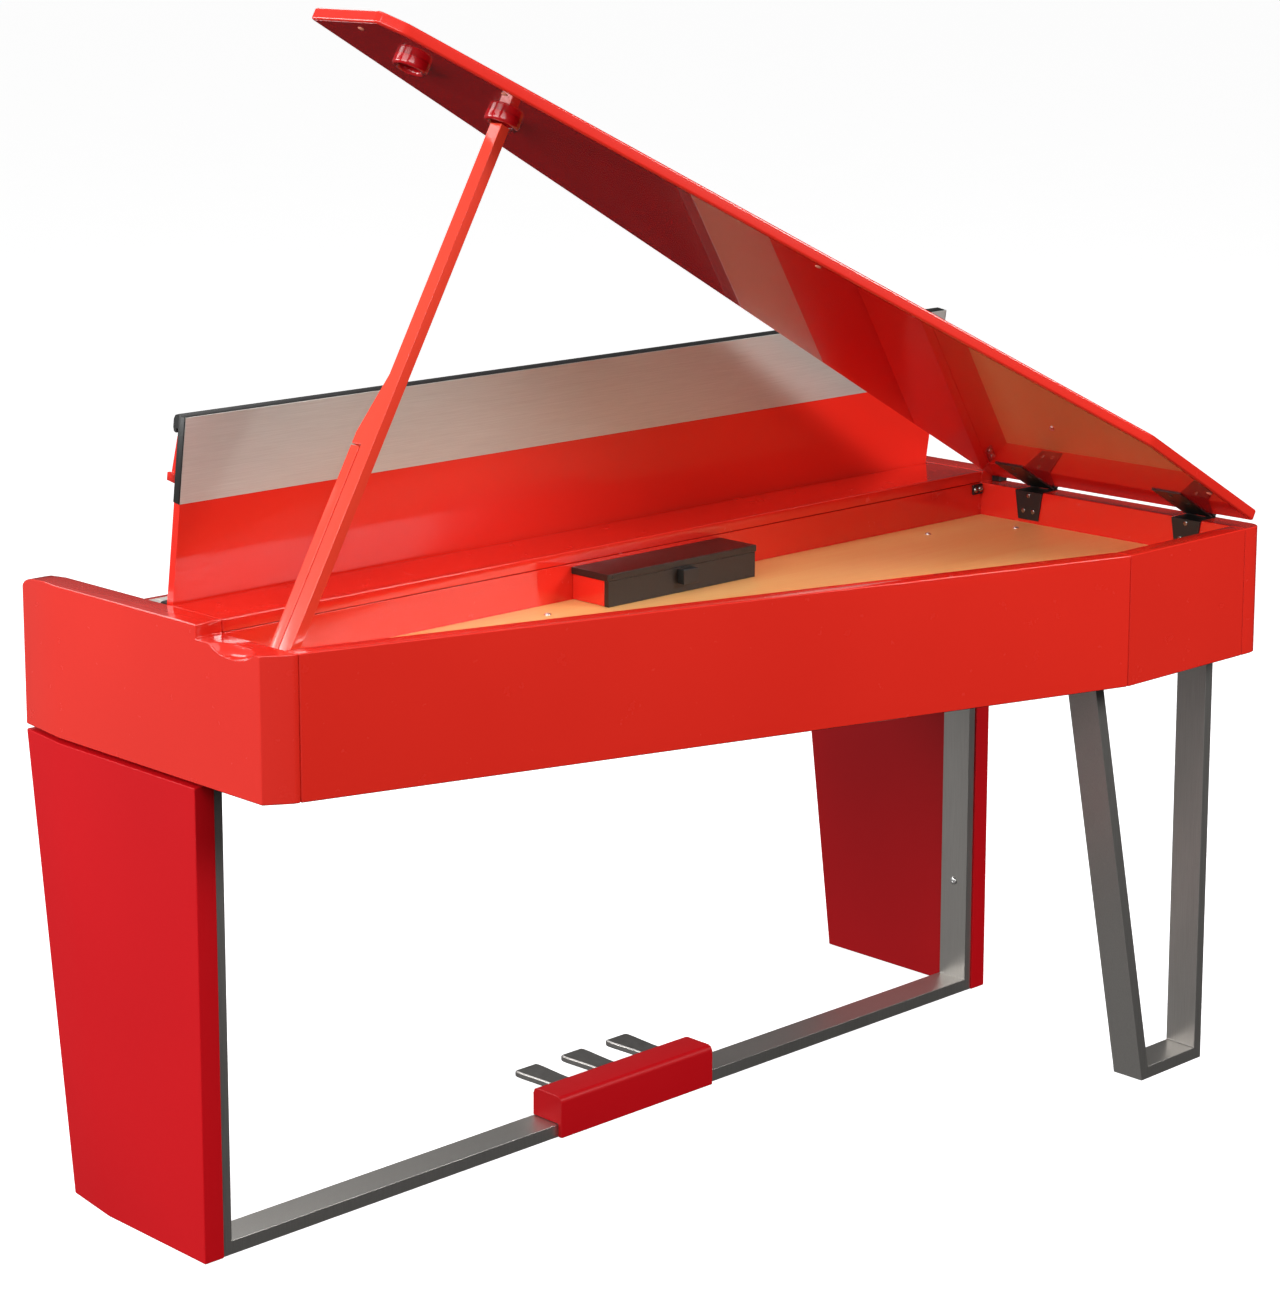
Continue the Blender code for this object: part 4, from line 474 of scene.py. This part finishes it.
LID_THICKNESS = 0.0155
LID_CORNER_RADIUS = 0.005
LID_RIM_RADIUS = 0.0028
board = lid_sheet()
thicken(board, -lid_up * LID_THICKNESS)
corners = [edge for edge in board.edges
           if abs((edge.verts[0].co - edge.verts[1].co).normalized().dot(lid_up)) > SAME_WAY]
soften(board, corners, LID_CORNER_RADIUS, 4)
rims = [edge for edge in board.edges if edge.calc_face_angle(0.0) > STEEP]
soften(board, rims, LID_RIM_RADIUS, 4)
print("lid edges left open", sum(1 for edge in board.edges if not edge.is_manifold))
even_normals(show(board, "lid_board", case_red, "lid_panel", True, 60.0))

# %% [markdown]
# The underside is darker than the lid's edges, and light alone didn't give that difference.
# So a sheet of darker red, a third of a millimetre thick, is laid under it as painted shade.
# It stops short of the rounded rim.

# %% Sheet of painted shade under the lid
SHADE_SHEET_THICKNESS = 0.0003
SHADE_SHEET_INSET = 0.0042
SHADE_SHEET_SPACE = 0.00005
# coat is the darker red sheet of painted shade, not a coat of lacquer that the lid has.
coat = lid_sheet()
bmesh.ops.translate(coat, verts=coat.verts, vec=-lid_up * (LID_THICKNESS + SHADE_SHEET_SPACE))
ring = bmesh.ops.inset_region(coat, faces=coat.faces[:], thickness=SHADE_SHEET_INSET,
                              use_boundary=True, use_even_offset=True)
bmesh.ops.delete(coat, geom=ring["faces"], context="FACES")
thicken(coat, -lid_up * SHADE_SHEET_THICKNESS)
print("coat faces", len(coat.faces))
show(coat, "lid_underside_painted_shade", shaded_lid_red, "lid_panel")

# %% [markdown]
# Small rubber discs under the lid keep it off the rim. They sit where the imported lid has
# its bosses, whose small faces look down. The two cups that take the end of the prop are
# thick turned rings.

# %% Lid bumpers and prop cups
BOSS_FACE_AREA = 0.0002
BUMPER_SUNK = 0.0014
lid = packed_copy("lid_panel")
bumper_places = [face.calc_center_median() for face in lid.faces
                 if face.normal.dot(lid_up) < -SAME_WAY and face.calc_area() < BOSS_FACE_AREA]
lid.free()
for number, place in enumerate(bumper_places):
    disc = turned([(0.0, 0.0), (0.0042, 0.0), (0.0042, 0.0007), (0.0036, 0.0013), (0.0020, 0.0016),
                   (0.0, 0.0017)], 20, closed=False)
    base = place + lid_up * BUMPER_SUNK
    show(aimed(disc, base, -lid_up), "lid_bumper_%d" % (number + 1), pale_rubber, "lid_panel")

# The cups take the lid's darker red, which is painted shade.
CUP_HEIGHT = 0.012
for node in ("high_prop_cup", "low_prop_cup"):
    low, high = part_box(node)
    base = (low + high) / 2 + lid_up * CUP_HEIGHT / 2
    ring = turned([(0.0140, 0.0), (0.0230, 0.0), (0.0230, 0.0078), (0.0226, 0.0098), (0.0215, 0.0112),
                   (0.0198, 0.0119), (0.0178, 0.0119), (0.0160, 0.0112), (0.0147, 0.0099),
                   (0.0141, 0.0080)], 48)
    show(aimed(ring, base, -lid_up), node + "_turned", shaded_lid_red, node, True)
print("bumpers", len(bumper_places), "and cups", CUP_HEIGHT, "high")

# %% [markdown]
# ## Hinges
# Each hinge is two bent plates round a steel pin. The plates get a small radius, and flush
# screws with shallow round sockets go through their flat parts. The plate on the case is
# narrower at its foot, so the lowest corners of its copy are drawn together first.

# %% Screws for the hinges
def gather(meshes):
    """Join several bmeshes into one."""
    whole = bmesh.new()
    for bm in meshes:
        part = bpy.data.meshes.new("part")
        bm.to_mesh(part)
        bm.free()
        whole.from_mesh(part)
        bpy.data.meshes.remove(part)
    return whole


def flush_screw(radius=0.0034, height=0.0007):
    """A flat head with a shallow socket."""
    return turned([(0.0, height - 0.0005), (radius * 0.38, height - 0.0004), (radius * 0.42, height),
                   (radius * 0.90, height), (radius, height * 0.6), (radius, 0.0), (0.0, 0.0)],
                  16, closed=False)


# across the leaf and up it, and across the leaf and back from its far edge
CASE_LEAF_SCREWS = ((0.0, 0.036), (0.009, 0.013), (-0.009, 0.013))
LID_LEAF_SCREWS = ((0.0, 0.014), (0.014, 0.040), (-0.014, 0.040))
print("screws in a hinge", len(CASE_LEAF_SCREWS) + len(LID_LEAF_SCREWS))

# %% Hinge leaves and pins
LEAF_TAPER = 0.74
LEAF_FOOT = 0.002
HEAD_OUT = 0.0001
for end in ("front", "rear"):
    case_leaf = "%s_hinge_case_leaf" % end
    lid_leaf = "%s_hinge_lid_leaf" % end
    low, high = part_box(case_leaf)
    middle = (low.y + high.y) / 2
    leaf = packed_copy(case_leaf)
    for vert in leaf.verts:
        if vert.co.z < low.z + LEAF_FOOT:
            vert.co.y = middle + (vert.co.y - middle) * LEAF_TAPER
    ease(case_leaf, black_satin, 0.0004, clamp=False, shape=leaf)
    ease(lid_leaf, black_satin, 0.0004, clamp=False)
    heads = [aimed(flush_screw(), (high.x + HEAD_OUT, middle + across, low.z + up), (1, 0, 0))
             for across, up in CASE_LEAF_SCREWS]
    show(gather(heads), "%s_case_leaf_screws" % end, pin_steel, case_leaf)
    along = lid_place.to_3x3() @ Vector((1, 0, 0))
    reach = [vert.co for vert in frame["nodes"][lid_leaf].data.vertices]
    far = max(reach, key=lambda point: point.dot(along))
    under = min(point.dot(lid_up) for point in reach if point.dot(along) > far.dot(along) - 0.01)
    heads = []
    for across, back in LID_LEAF_SCREWS:
        point = (along * (far.dot(along) - back) + lid_up * (under - HEAD_OUT)
                 + Vector((0, middle + across, 0)))
        heads.append(aimed(flush_screw(), point, -lid_up))
    show(gather(heads), "%s_lid_leaf_screws" % end, black_satin, lid_leaf)
repaint(pin_steel, "front_hinge_pin", "rear_hinge_pin", "prop_pin", "pedal_axle")
print("hinges", round(high.y - low.y, 4), "wide")

# %% [markdown]
# ## Small fittings at the bass end
# A small black block stands on the bass side just behind the cover's shelf, and a thin
# bracket with two domed screws lies against the beam beside it. Both are plain boxes in the
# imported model, so a Bevel modifier rounds them, and the block the more.

# %% Corner plate and beam bracket
SCREW_IN = 0.0053
ease("corner_plate", black_satin, 0.0010, 3)
ease("beam_bracket", black_satin, 0.0006)
low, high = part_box("beam_bracket")
heads = [aimed(domed_screw(0.0046, 0.0032, 0.0014, 0.0012),
               (x, high.y + HEAD_OUT, (low.z + high.z) / 2), (0, 1, 0))
         for x in (low.x + SCREW_IN, high.x - SCREW_IN)]
print("bracket screws", len(heads))
show(gather(heads), "beam_bracket_screws", pin_steel, "beam_bracket")

# %% [markdown]
# ## Prop
# The long stick carries the lid and the short one lies beside it. Both are lacquered bars
# with bright eased edges, which the solids have as chamfers.

# %% Prop sticks and bracket
ease("prop_stick", prop_red)
ease("half_prop_stick", prop_red)
ease("prop_bracket", black_satin, 0.0003, clamp=False)

# %% [markdown]
# ## Box on the soundboard
# A red body carries a smooth black plate. The rear panel is duller, and a square latch
# stands out from it under the plate's edge. One small flush screw shows in that edge.

# %% Electronics box
PLATE_SCREW_IN = 0.009
ease("module_body", case_red)
ease("module_rear_panel", black_panel, 0.0004)
ease("module_top_plate", black_plate, 0.0007)
ease("module_latch", black_satin)
low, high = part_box("module_top_plate")
show(aimed(flush_screw(0.0017, 0.0005),
           (high.x - PLATE_SCREW_IN, high.y + HEAD_OUT, (low.z + high.z) / 2), (0, 1, 0)),
     "plate_screw", black_satin, "module_top_plate")
print("plate", [round(c, 3) for c in high - low])

# %% [markdown]
# ## Key cover
# The cover is a lacquered board with a strip of brushed nickel let into its back and a black
# profile hooked over its top edge. The narrow ledge that folds out for sheet music is hung
# on its front. The board keeps the solid's crisp edges, because a Bevel modifier left patches
# in the shading of its front.

# %% Cover board, strip, lip and ledge
ease("key_cover_board", cover_red)
ease("cover_metal_strip", strip_nickel, 0.0003)
ease("cover_lip_profile", black_satin, 0.0006, clamp=False)
ease("music_ledge", cover_red, 0.0008, clamp=False)
print("cover pivot", [round(c, 4) for c in pivots["key_cover_hinge"]["pos_m"]])

# %% [markdown]
# Thin black caps close the ends of the strip. They are made in the cover's own axes, where it
# stands upright over its pivot, and are then leaned back with it.

# %% Caps on the ends of the strip
COVER_LEAN = math.radians(8.5)
CAP_SIZE = (0.0014, 0.0118, 0.1092)
CAP_OUT = 0.0008
CAP_BACK = 0.0020
CAP_UP = 0.1918
cover_pivot = Matrix.Translation(pivots["key_cover_hinge"]["pos_m"])
cover_place = cover_pivot @ Matrix.Rotation(-COVER_LEAN, 4, "X")
strip_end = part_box("cover_metal_strip")[1].x
for name, side in (("treble", 1.0), ("bass", -1.0)):
    cap = bmesh.new()
    cap_place = Matrix.Translation((side * (strip_end + CAP_OUT), CAP_BACK, CAP_UP))
    bmesh.ops.create_cube(cap, size=1.0, matrix=cap_place @ Matrix.Diagonal((*CAP_SIZE, 1.0)))
    soften(cap, cap.edges[:], 0.0005, 2)
    bmesh.ops.transform(cap, matrix=cover_place, verts=cap.verts)
    show(cap, "cover_end_cap_" + name, black_satin, "cover_lip_profile")
print("cover strip reaches", round(strip_end, 4))

# %% [markdown]
# ## Keyboard
# The white keys have crisp fronts and slightly rounded tops, and the fronts of the black keys
# slope back at the top. The solids have these shapes already, so a Bevel modifier only adds
# the small radii. A real black key is also a little narrower at the top, which is left out.

# %% Keys
ease("white_keys", ivory, 0.0006, 2, clamp=False)
ease("black_keys", ebony, 0.0008, 3, clamp=False)
repaint(rail_metal, "key_frame")
ease("control_panel", black_satin, 0.0006, clamp=False)

# %% [markdown]
# The button and the knob on the control panel are turned. The steps of the turning cut the
# knob's side into narrow faces, and every second one is sunk a little, as a grip. Grooves
# could be cut with booleans instead, but sunk faces keep the mesh small and closed.

# %% Power button and volume knob
KNOB_STEPS = 48
FLUTE_INSET = 0.0002
FLUTE_DEPTH = 0.0003


def stood(bm, low, high):
    """Stand a turned piece upright in the box of a packed one."""
    centre = (low + high) / 2
    return aimed(bm, (centre.x, centre.y, low.z), (0, 0, 1))


low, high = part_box("power_button")
radius = (high.x - low.x) / 2
height = high.z - low.z
button = turned([(0.0, 0.0), (radius, 0.0), (radius, height - 0.0012), (radius - 0.0004, height - 0.0004),
                 (radius - 0.0012, height), (radius * 0.5, height - 0.0003), (0.0, height - 0.0004)],
                32, closed=False)
show(stood(button, low, high), "power_button_turned", black_satin, "power_button", True)

low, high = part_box("volume_knob")
radius = (high.x - low.x) / 2
height = high.z - low.z
knob = turned([(0.0, 0.0), (radius, 0.0), (radius, height - 0.0016), (radius - 0.0006, height - 0.0005),
               (radius - 0.0016, height), (radius * 0.72, height), (radius * 0.66, height - 0.0006),
               (0.0, height - 0.0006)], KNOB_STEPS, closed=False)
ridges = [(face, face.calc_center_median()) for face in knob.faces if abs(face.normal.z) < 0.1]
flutes = [face for face, centre in ridges if centre.length > radius * 0.9
          and round(math.atan2(centre.y, centre.x) / math.pi * (KNOB_STEPS / 2) - 0.5) % 2 == 0]
bmesh.ops.inset_individual(knob, faces=flutes, thickness=FLUTE_INSET, depth=-FLUTE_DEPTH,
                           use_even_offset=True)
print("flutes on the knob", len(flutes))
show(stood(knob, low, high), "volume_knob_turned", black_satin, "volume_knob", True, 40.0)

# %% [markdown]
# ## Legs and frames
# Two lacquered panels stand on a steel frame that runs along the floor, and a V of bars
# carries the tail. The bars get small radii. A domed screw on the inner side joins each panel
# to the frame.

# %% Leg panels, frames and screws
HEAD_FOOT_IN = 0.003
ease("treble_leg_panel", leg_red)
ease("bass_leg_panel", leg_red)
ease("leg_frame", bar_steel, 0.0010)
ease("tail_leg", bar_steel, 0.0010)
for end, side in (("treble", 1.0), ("bass", -1.0)):
    node = "%s_leg_screw" % end
    low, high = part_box(node)
    centre = (low + high) / 2
    inner = high.x if side < 0 else low.x
    base = Vector((inner + side * HEAD_FOOT_IN, centre.y, centre.z))
    head = domed_screw(0.0060, 0.0029, 0.0022, 0.0018, shank=0.0029)
    show(aimed(head, base, (-side, 0, 0)), node + "_domed", bright_zinc, node, True)
print("leg screws", round(centre.z, 4), "high")

# %% [markdown]
# ## Pedals
# Three metal pedals swing on one axle in a lacquered box. Each is a flat blade with nearly
# straight sides, a rounded end and soft edges. Half of its outline is written down in shares
# of its half width and mirrored, which lets the width change along the blade. One face is
# made of it, thickened and rounded at its rims.

# %% Pedals and their box
BLADE_RADIUS = 0.0022
BLADE_LEVEL = 0.001
ease("pedal_box", leg_red, 0.0016, 3, clamp=False)
for node in ("right_pedal", "middle_pedal", "left_pedal"):
    low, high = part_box(node)
    middle = (low.x + high.x) / 2
    half = (high.x - low.x) / 2
    blade = bmesh.new()
    side = [(0.84, high.y), (0.86, low.y + 0.060), (0.93, low.y + 0.036), (1.0, low.y + 0.016),
            (1.0, low.y + 0.005), (0.94, low.y + 0.0012), (0.84, low.y)]
    outline = [(middle + half * share, y) for share, y in side]
    outline += [(middle - half * share, y) for share, y in reversed(side)]
    blade.faces.new([blade.verts.new((x, y, high.z)) for x, y in outline])
    thicken(blade, (0, 0, low.z - high.z))
    rims = [edge for edge in blade.edges if edge.calc_face_angle(0.0) > STEEP
            and abs(edge.verts[0].co.z - edge.verts[1].co.z) < BLADE_LEVEL]
    soften(blade, rims, BLADE_RADIUS, 4)
    even_normals(show(blade, node + "_blade", pedal_metal, node, True, 70.0))
print("pedal blades", round(half * 2, 4), "wide")

# %% [markdown]
# ## Speakers
# Two speakers look down through the bottom board. Seen from below each has a rim, a rubber
# roll, a paper cone and a dust cap, and above them a basket and a magnet. All are round, so
# each part is a profile that is spun, in shares of the speaker's radius.

# %% Speakers
for node in ("treble_speaker", "bass_speaker"):
    low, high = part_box(node)
    top = high.z - low.z
    r = (high.x - low.x) / 2
    shell = turned([(r * 0.80, 0.0), (r, 0.0), (r, 0.004), (r * 0.90, 0.004), (r * 0.80, 0.010),
                    (r * 0.50, top * 0.6), (r * 0.50, top), (0.0, top), (0.0, top - 0.02),
                    (r * 0.36, top - 0.02), (r * 0.36, top * 0.55), (r * 0.74, 0.010)], 48)
    show(stood(shell, low, high), node + "_basket", black_satin, node, True)
    roll = turned([(r * 0.66, 0.0042), (r * 0.68, 0.0020), (r * 0.72, 0.0008), (r * 0.77, 0.0018),
                   (r * 0.795, 0.0030), (r * 0.795, 0.0042), (r * 0.77, 0.0031), (r * 0.72, 0.0021),
                   (r * 0.69, 0.0032), (r * 0.67, 0.0050)], 48)
    show(stood(roll, low, high), node + "_roll", soft_rubber, node)
    cone = turned([(0.0, 0.0150), (r * 0.10, 0.0154), (r * 0.19, 0.0172), (r * 0.24, 0.0215),
                   (r * 0.66, 0.0045), (r * 0.66, 0.0060), (r * 0.25, 0.0235), (0.0, 0.0235)],
                  48, closed=False)
    show(stood(cone, low, high), node + "_cone", cone_paper, node)
print("speaker radius", round(r, 4))

# %% [markdown]
# ## Inside the case
# The power inlet has three flat pins in its well. The board and the supply are hidden under
# the soundboard, so plain finishes do for them.

# %% Inlet, board and supply
PIN_SIZE = (0.0020, 0.0040, 0.0110)
PIN_DOWN = 0.012
ease("power_inlet", black_satin, 0.0005, clamp=False)
low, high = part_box("power_inlet")
centre = (low + high) / 2
pins = []
for across, back in ((-0.007, -0.002), (0.007, -0.002), (0.0, 0.004)):
    pin = bmesh.new()
    pin_place = Matrix.Translation((centre.x + across, centre.y + back, high.z - PIN_DOWN))
    bmesh.ops.create_cube(pin, size=1.0, matrix=pin_place @ Matrix.Diagonal((*PIN_SIZE, 1.0)))
    soften(pin, pin.edges[:], 0.0004, 2)
    pins.append(pin)
show(gather(pins), "inlet_pins", bright_zinc, "power_inlet")
repaint(circuit, "main_board")
repaint(rail_metal, "power_supply")
print("inlet", [round(c, 3) for c in high - low])

# %% [markdown]
# ## Floor
# The photograph's ground is white. The floor here is plain and pale and glows a little, so
# that it is nearly as white without strong light. Polished lacquer would mirror it, and in
# the photograph the lacquer mirrors little, so the floor is left out of the reflections and
# out of the light that bounces.

# %% Floor
FLOOR_HALF_WIDTH = 60.0
FLOOR_DOWN = 0.0005
floor_mesh = bmesh.new()
bmesh.ops.create_grid(floor_mesh, x_segments=1, y_segments=1, size=FLOOR_HALF_WIDTH)
mesh = bpy.data.meshes.new("floor")
floor_mesh.to_mesh(mesh)
floor_mesh.free()
floor = bpy.data.objects.new("floor", mesh)
floor.location.z = -FLOOR_DOWN
bpy.context.scene.collection.objects.link(floor)
pale_floor, tree, shader, coords = new_finish("pale_floor", Roughness=0.75, Emission_Strength=0.80)
shader.inputs["Emission Color"].default_value = (1.0, 1.0, 1.0, 1.0)
tree.links.new(two_tones(tree, noise(tree, coords, 3.0), (0.86, 0.86, 0.86), (0.88, 0.88, 0.88)),
               shader.inputs["Base Color"])
mesh.materials.append(pale_floor)
floor.visible_glossy = False
floor.visible_diffuse = False
print("floor at", round(floor.location.z, 4))

# %% [markdown]
# ## Lights
# The photograph was taken in soft light from large panels. Small lamps would give hard
# shadows, so six area lights stand for the panels: one beside the camera, a high and a low
# one on the treble side, one near the tail, one overhead and one on the player's side.

# %% Lights
def soft_light(name, place, aim, size, power):
    """A large area light that looks at a point."""
    lamp = bpy.data.lights.new(name, "AREA")
    lamp.shape = "RECTANGLE"
    lamp.size, lamp.size_y = size
    lamp.energy = power
    light = bpy.data.objects.new(name, lamp)
    light.location = place
    light.rotation_euler = (Vector(aim) - Vector(place)).to_track_quat("-Z", "Y").to_euler()
    bpy.context.scene.collection.objects.link(light)


soft_light("camera_side_key", (2.5, 2.7, 2.6), (0.0, 0.1, 0.8), (2.0, 1.6), 52.0)
soft_light("treble_panel", (4.6, 0.2, 2.6), (0.2, 0.0, 0.7), (2.6, 2.2), 120.0)
soft_light("tail_side_panel", (-1.7, 2.9, 2.3), (-0.65, 0.4, 0.65), (1.4, 1.0), 84.0)
soft_light("low_treble", (3.0, -2.3, 1.7), (0.0, 0.0, 0.45), (1.6, 1.0), 52.0)
soft_light("overhead", (0.6, 0.4, 4.2), (0.1, 0.1, 0.8), (3.0, 3.0), 50.0)
soft_light("player_fill", (-0.6, -3.6, 3.6), (0.0, -0.2, 0.8), (2.6, 1.6), 45.0)

# %% [markdown]
# ## World
# A white world would be mirrored all over the lacquer and wash it out. So only the camera
# sees white. Reflections see a dim room whose soft glow is strongest high on the treble side,
# and fades toward the bass side and the floor.

# %% World
BRIGHT_SIDE = (0.75, -0.10, 0.60)
world = bpy.data.worlds.new("studio")
bpy.context.scene.world = world
world.use_nodes = True
tree = world.node_tree
direction = tree.nodes.new("ShaderNodeTexCoord").outputs["Generated"]
toward = tree.nodes.new("ShaderNodeVectorMath")
toward.operation = "DOT_PRODUCT"
toward.inputs[1].default_value = BRIGHT_SIDE
tree.links.new(direction, toward.inputs[0])
glow = tree.nodes.new("ShaderNodeMapRange")
glow.interpolation_type = "SMOOTHSTEP"
glow.inputs["From Min"].default_value = -0.60
glow.inputs["From Max"].default_value = 0.60
glow.inputs["To Min"].default_value = 0.02
glow.inputs["To Max"].default_value = 0.26
tree.links.new(toward.outputs["Value"], glow.inputs["Value"])
room = tree.nodes["Background"]
room.inputs["Color"].default_value = (1.0, 1.0, 1.0, 1.0)
tree.links.new(glow.outputs["Result"], room.inputs["Strength"])
backdrop = tree.nodes.new("ShaderNodeBackground")
backdrop.inputs["Color"].default_value = (1.0, 1.0, 1.0, 1.0)
seen = tree.nodes.new("ShaderNodeMixShader")
tree.links.new(tree.nodes.new("ShaderNodeLightPath").outputs["Is Camera Ray"], seen.inputs["Fac"])
tree.links.new(room.outputs["Background"], seen.inputs[1])
tree.links.new(backdrop.outputs["Background"], seen.inputs[2])
tree.links.new(seen.outputs["Shader"], tree.nodes["World Output"].inputs["Surface"])
print("world nodes", len(tree.nodes))
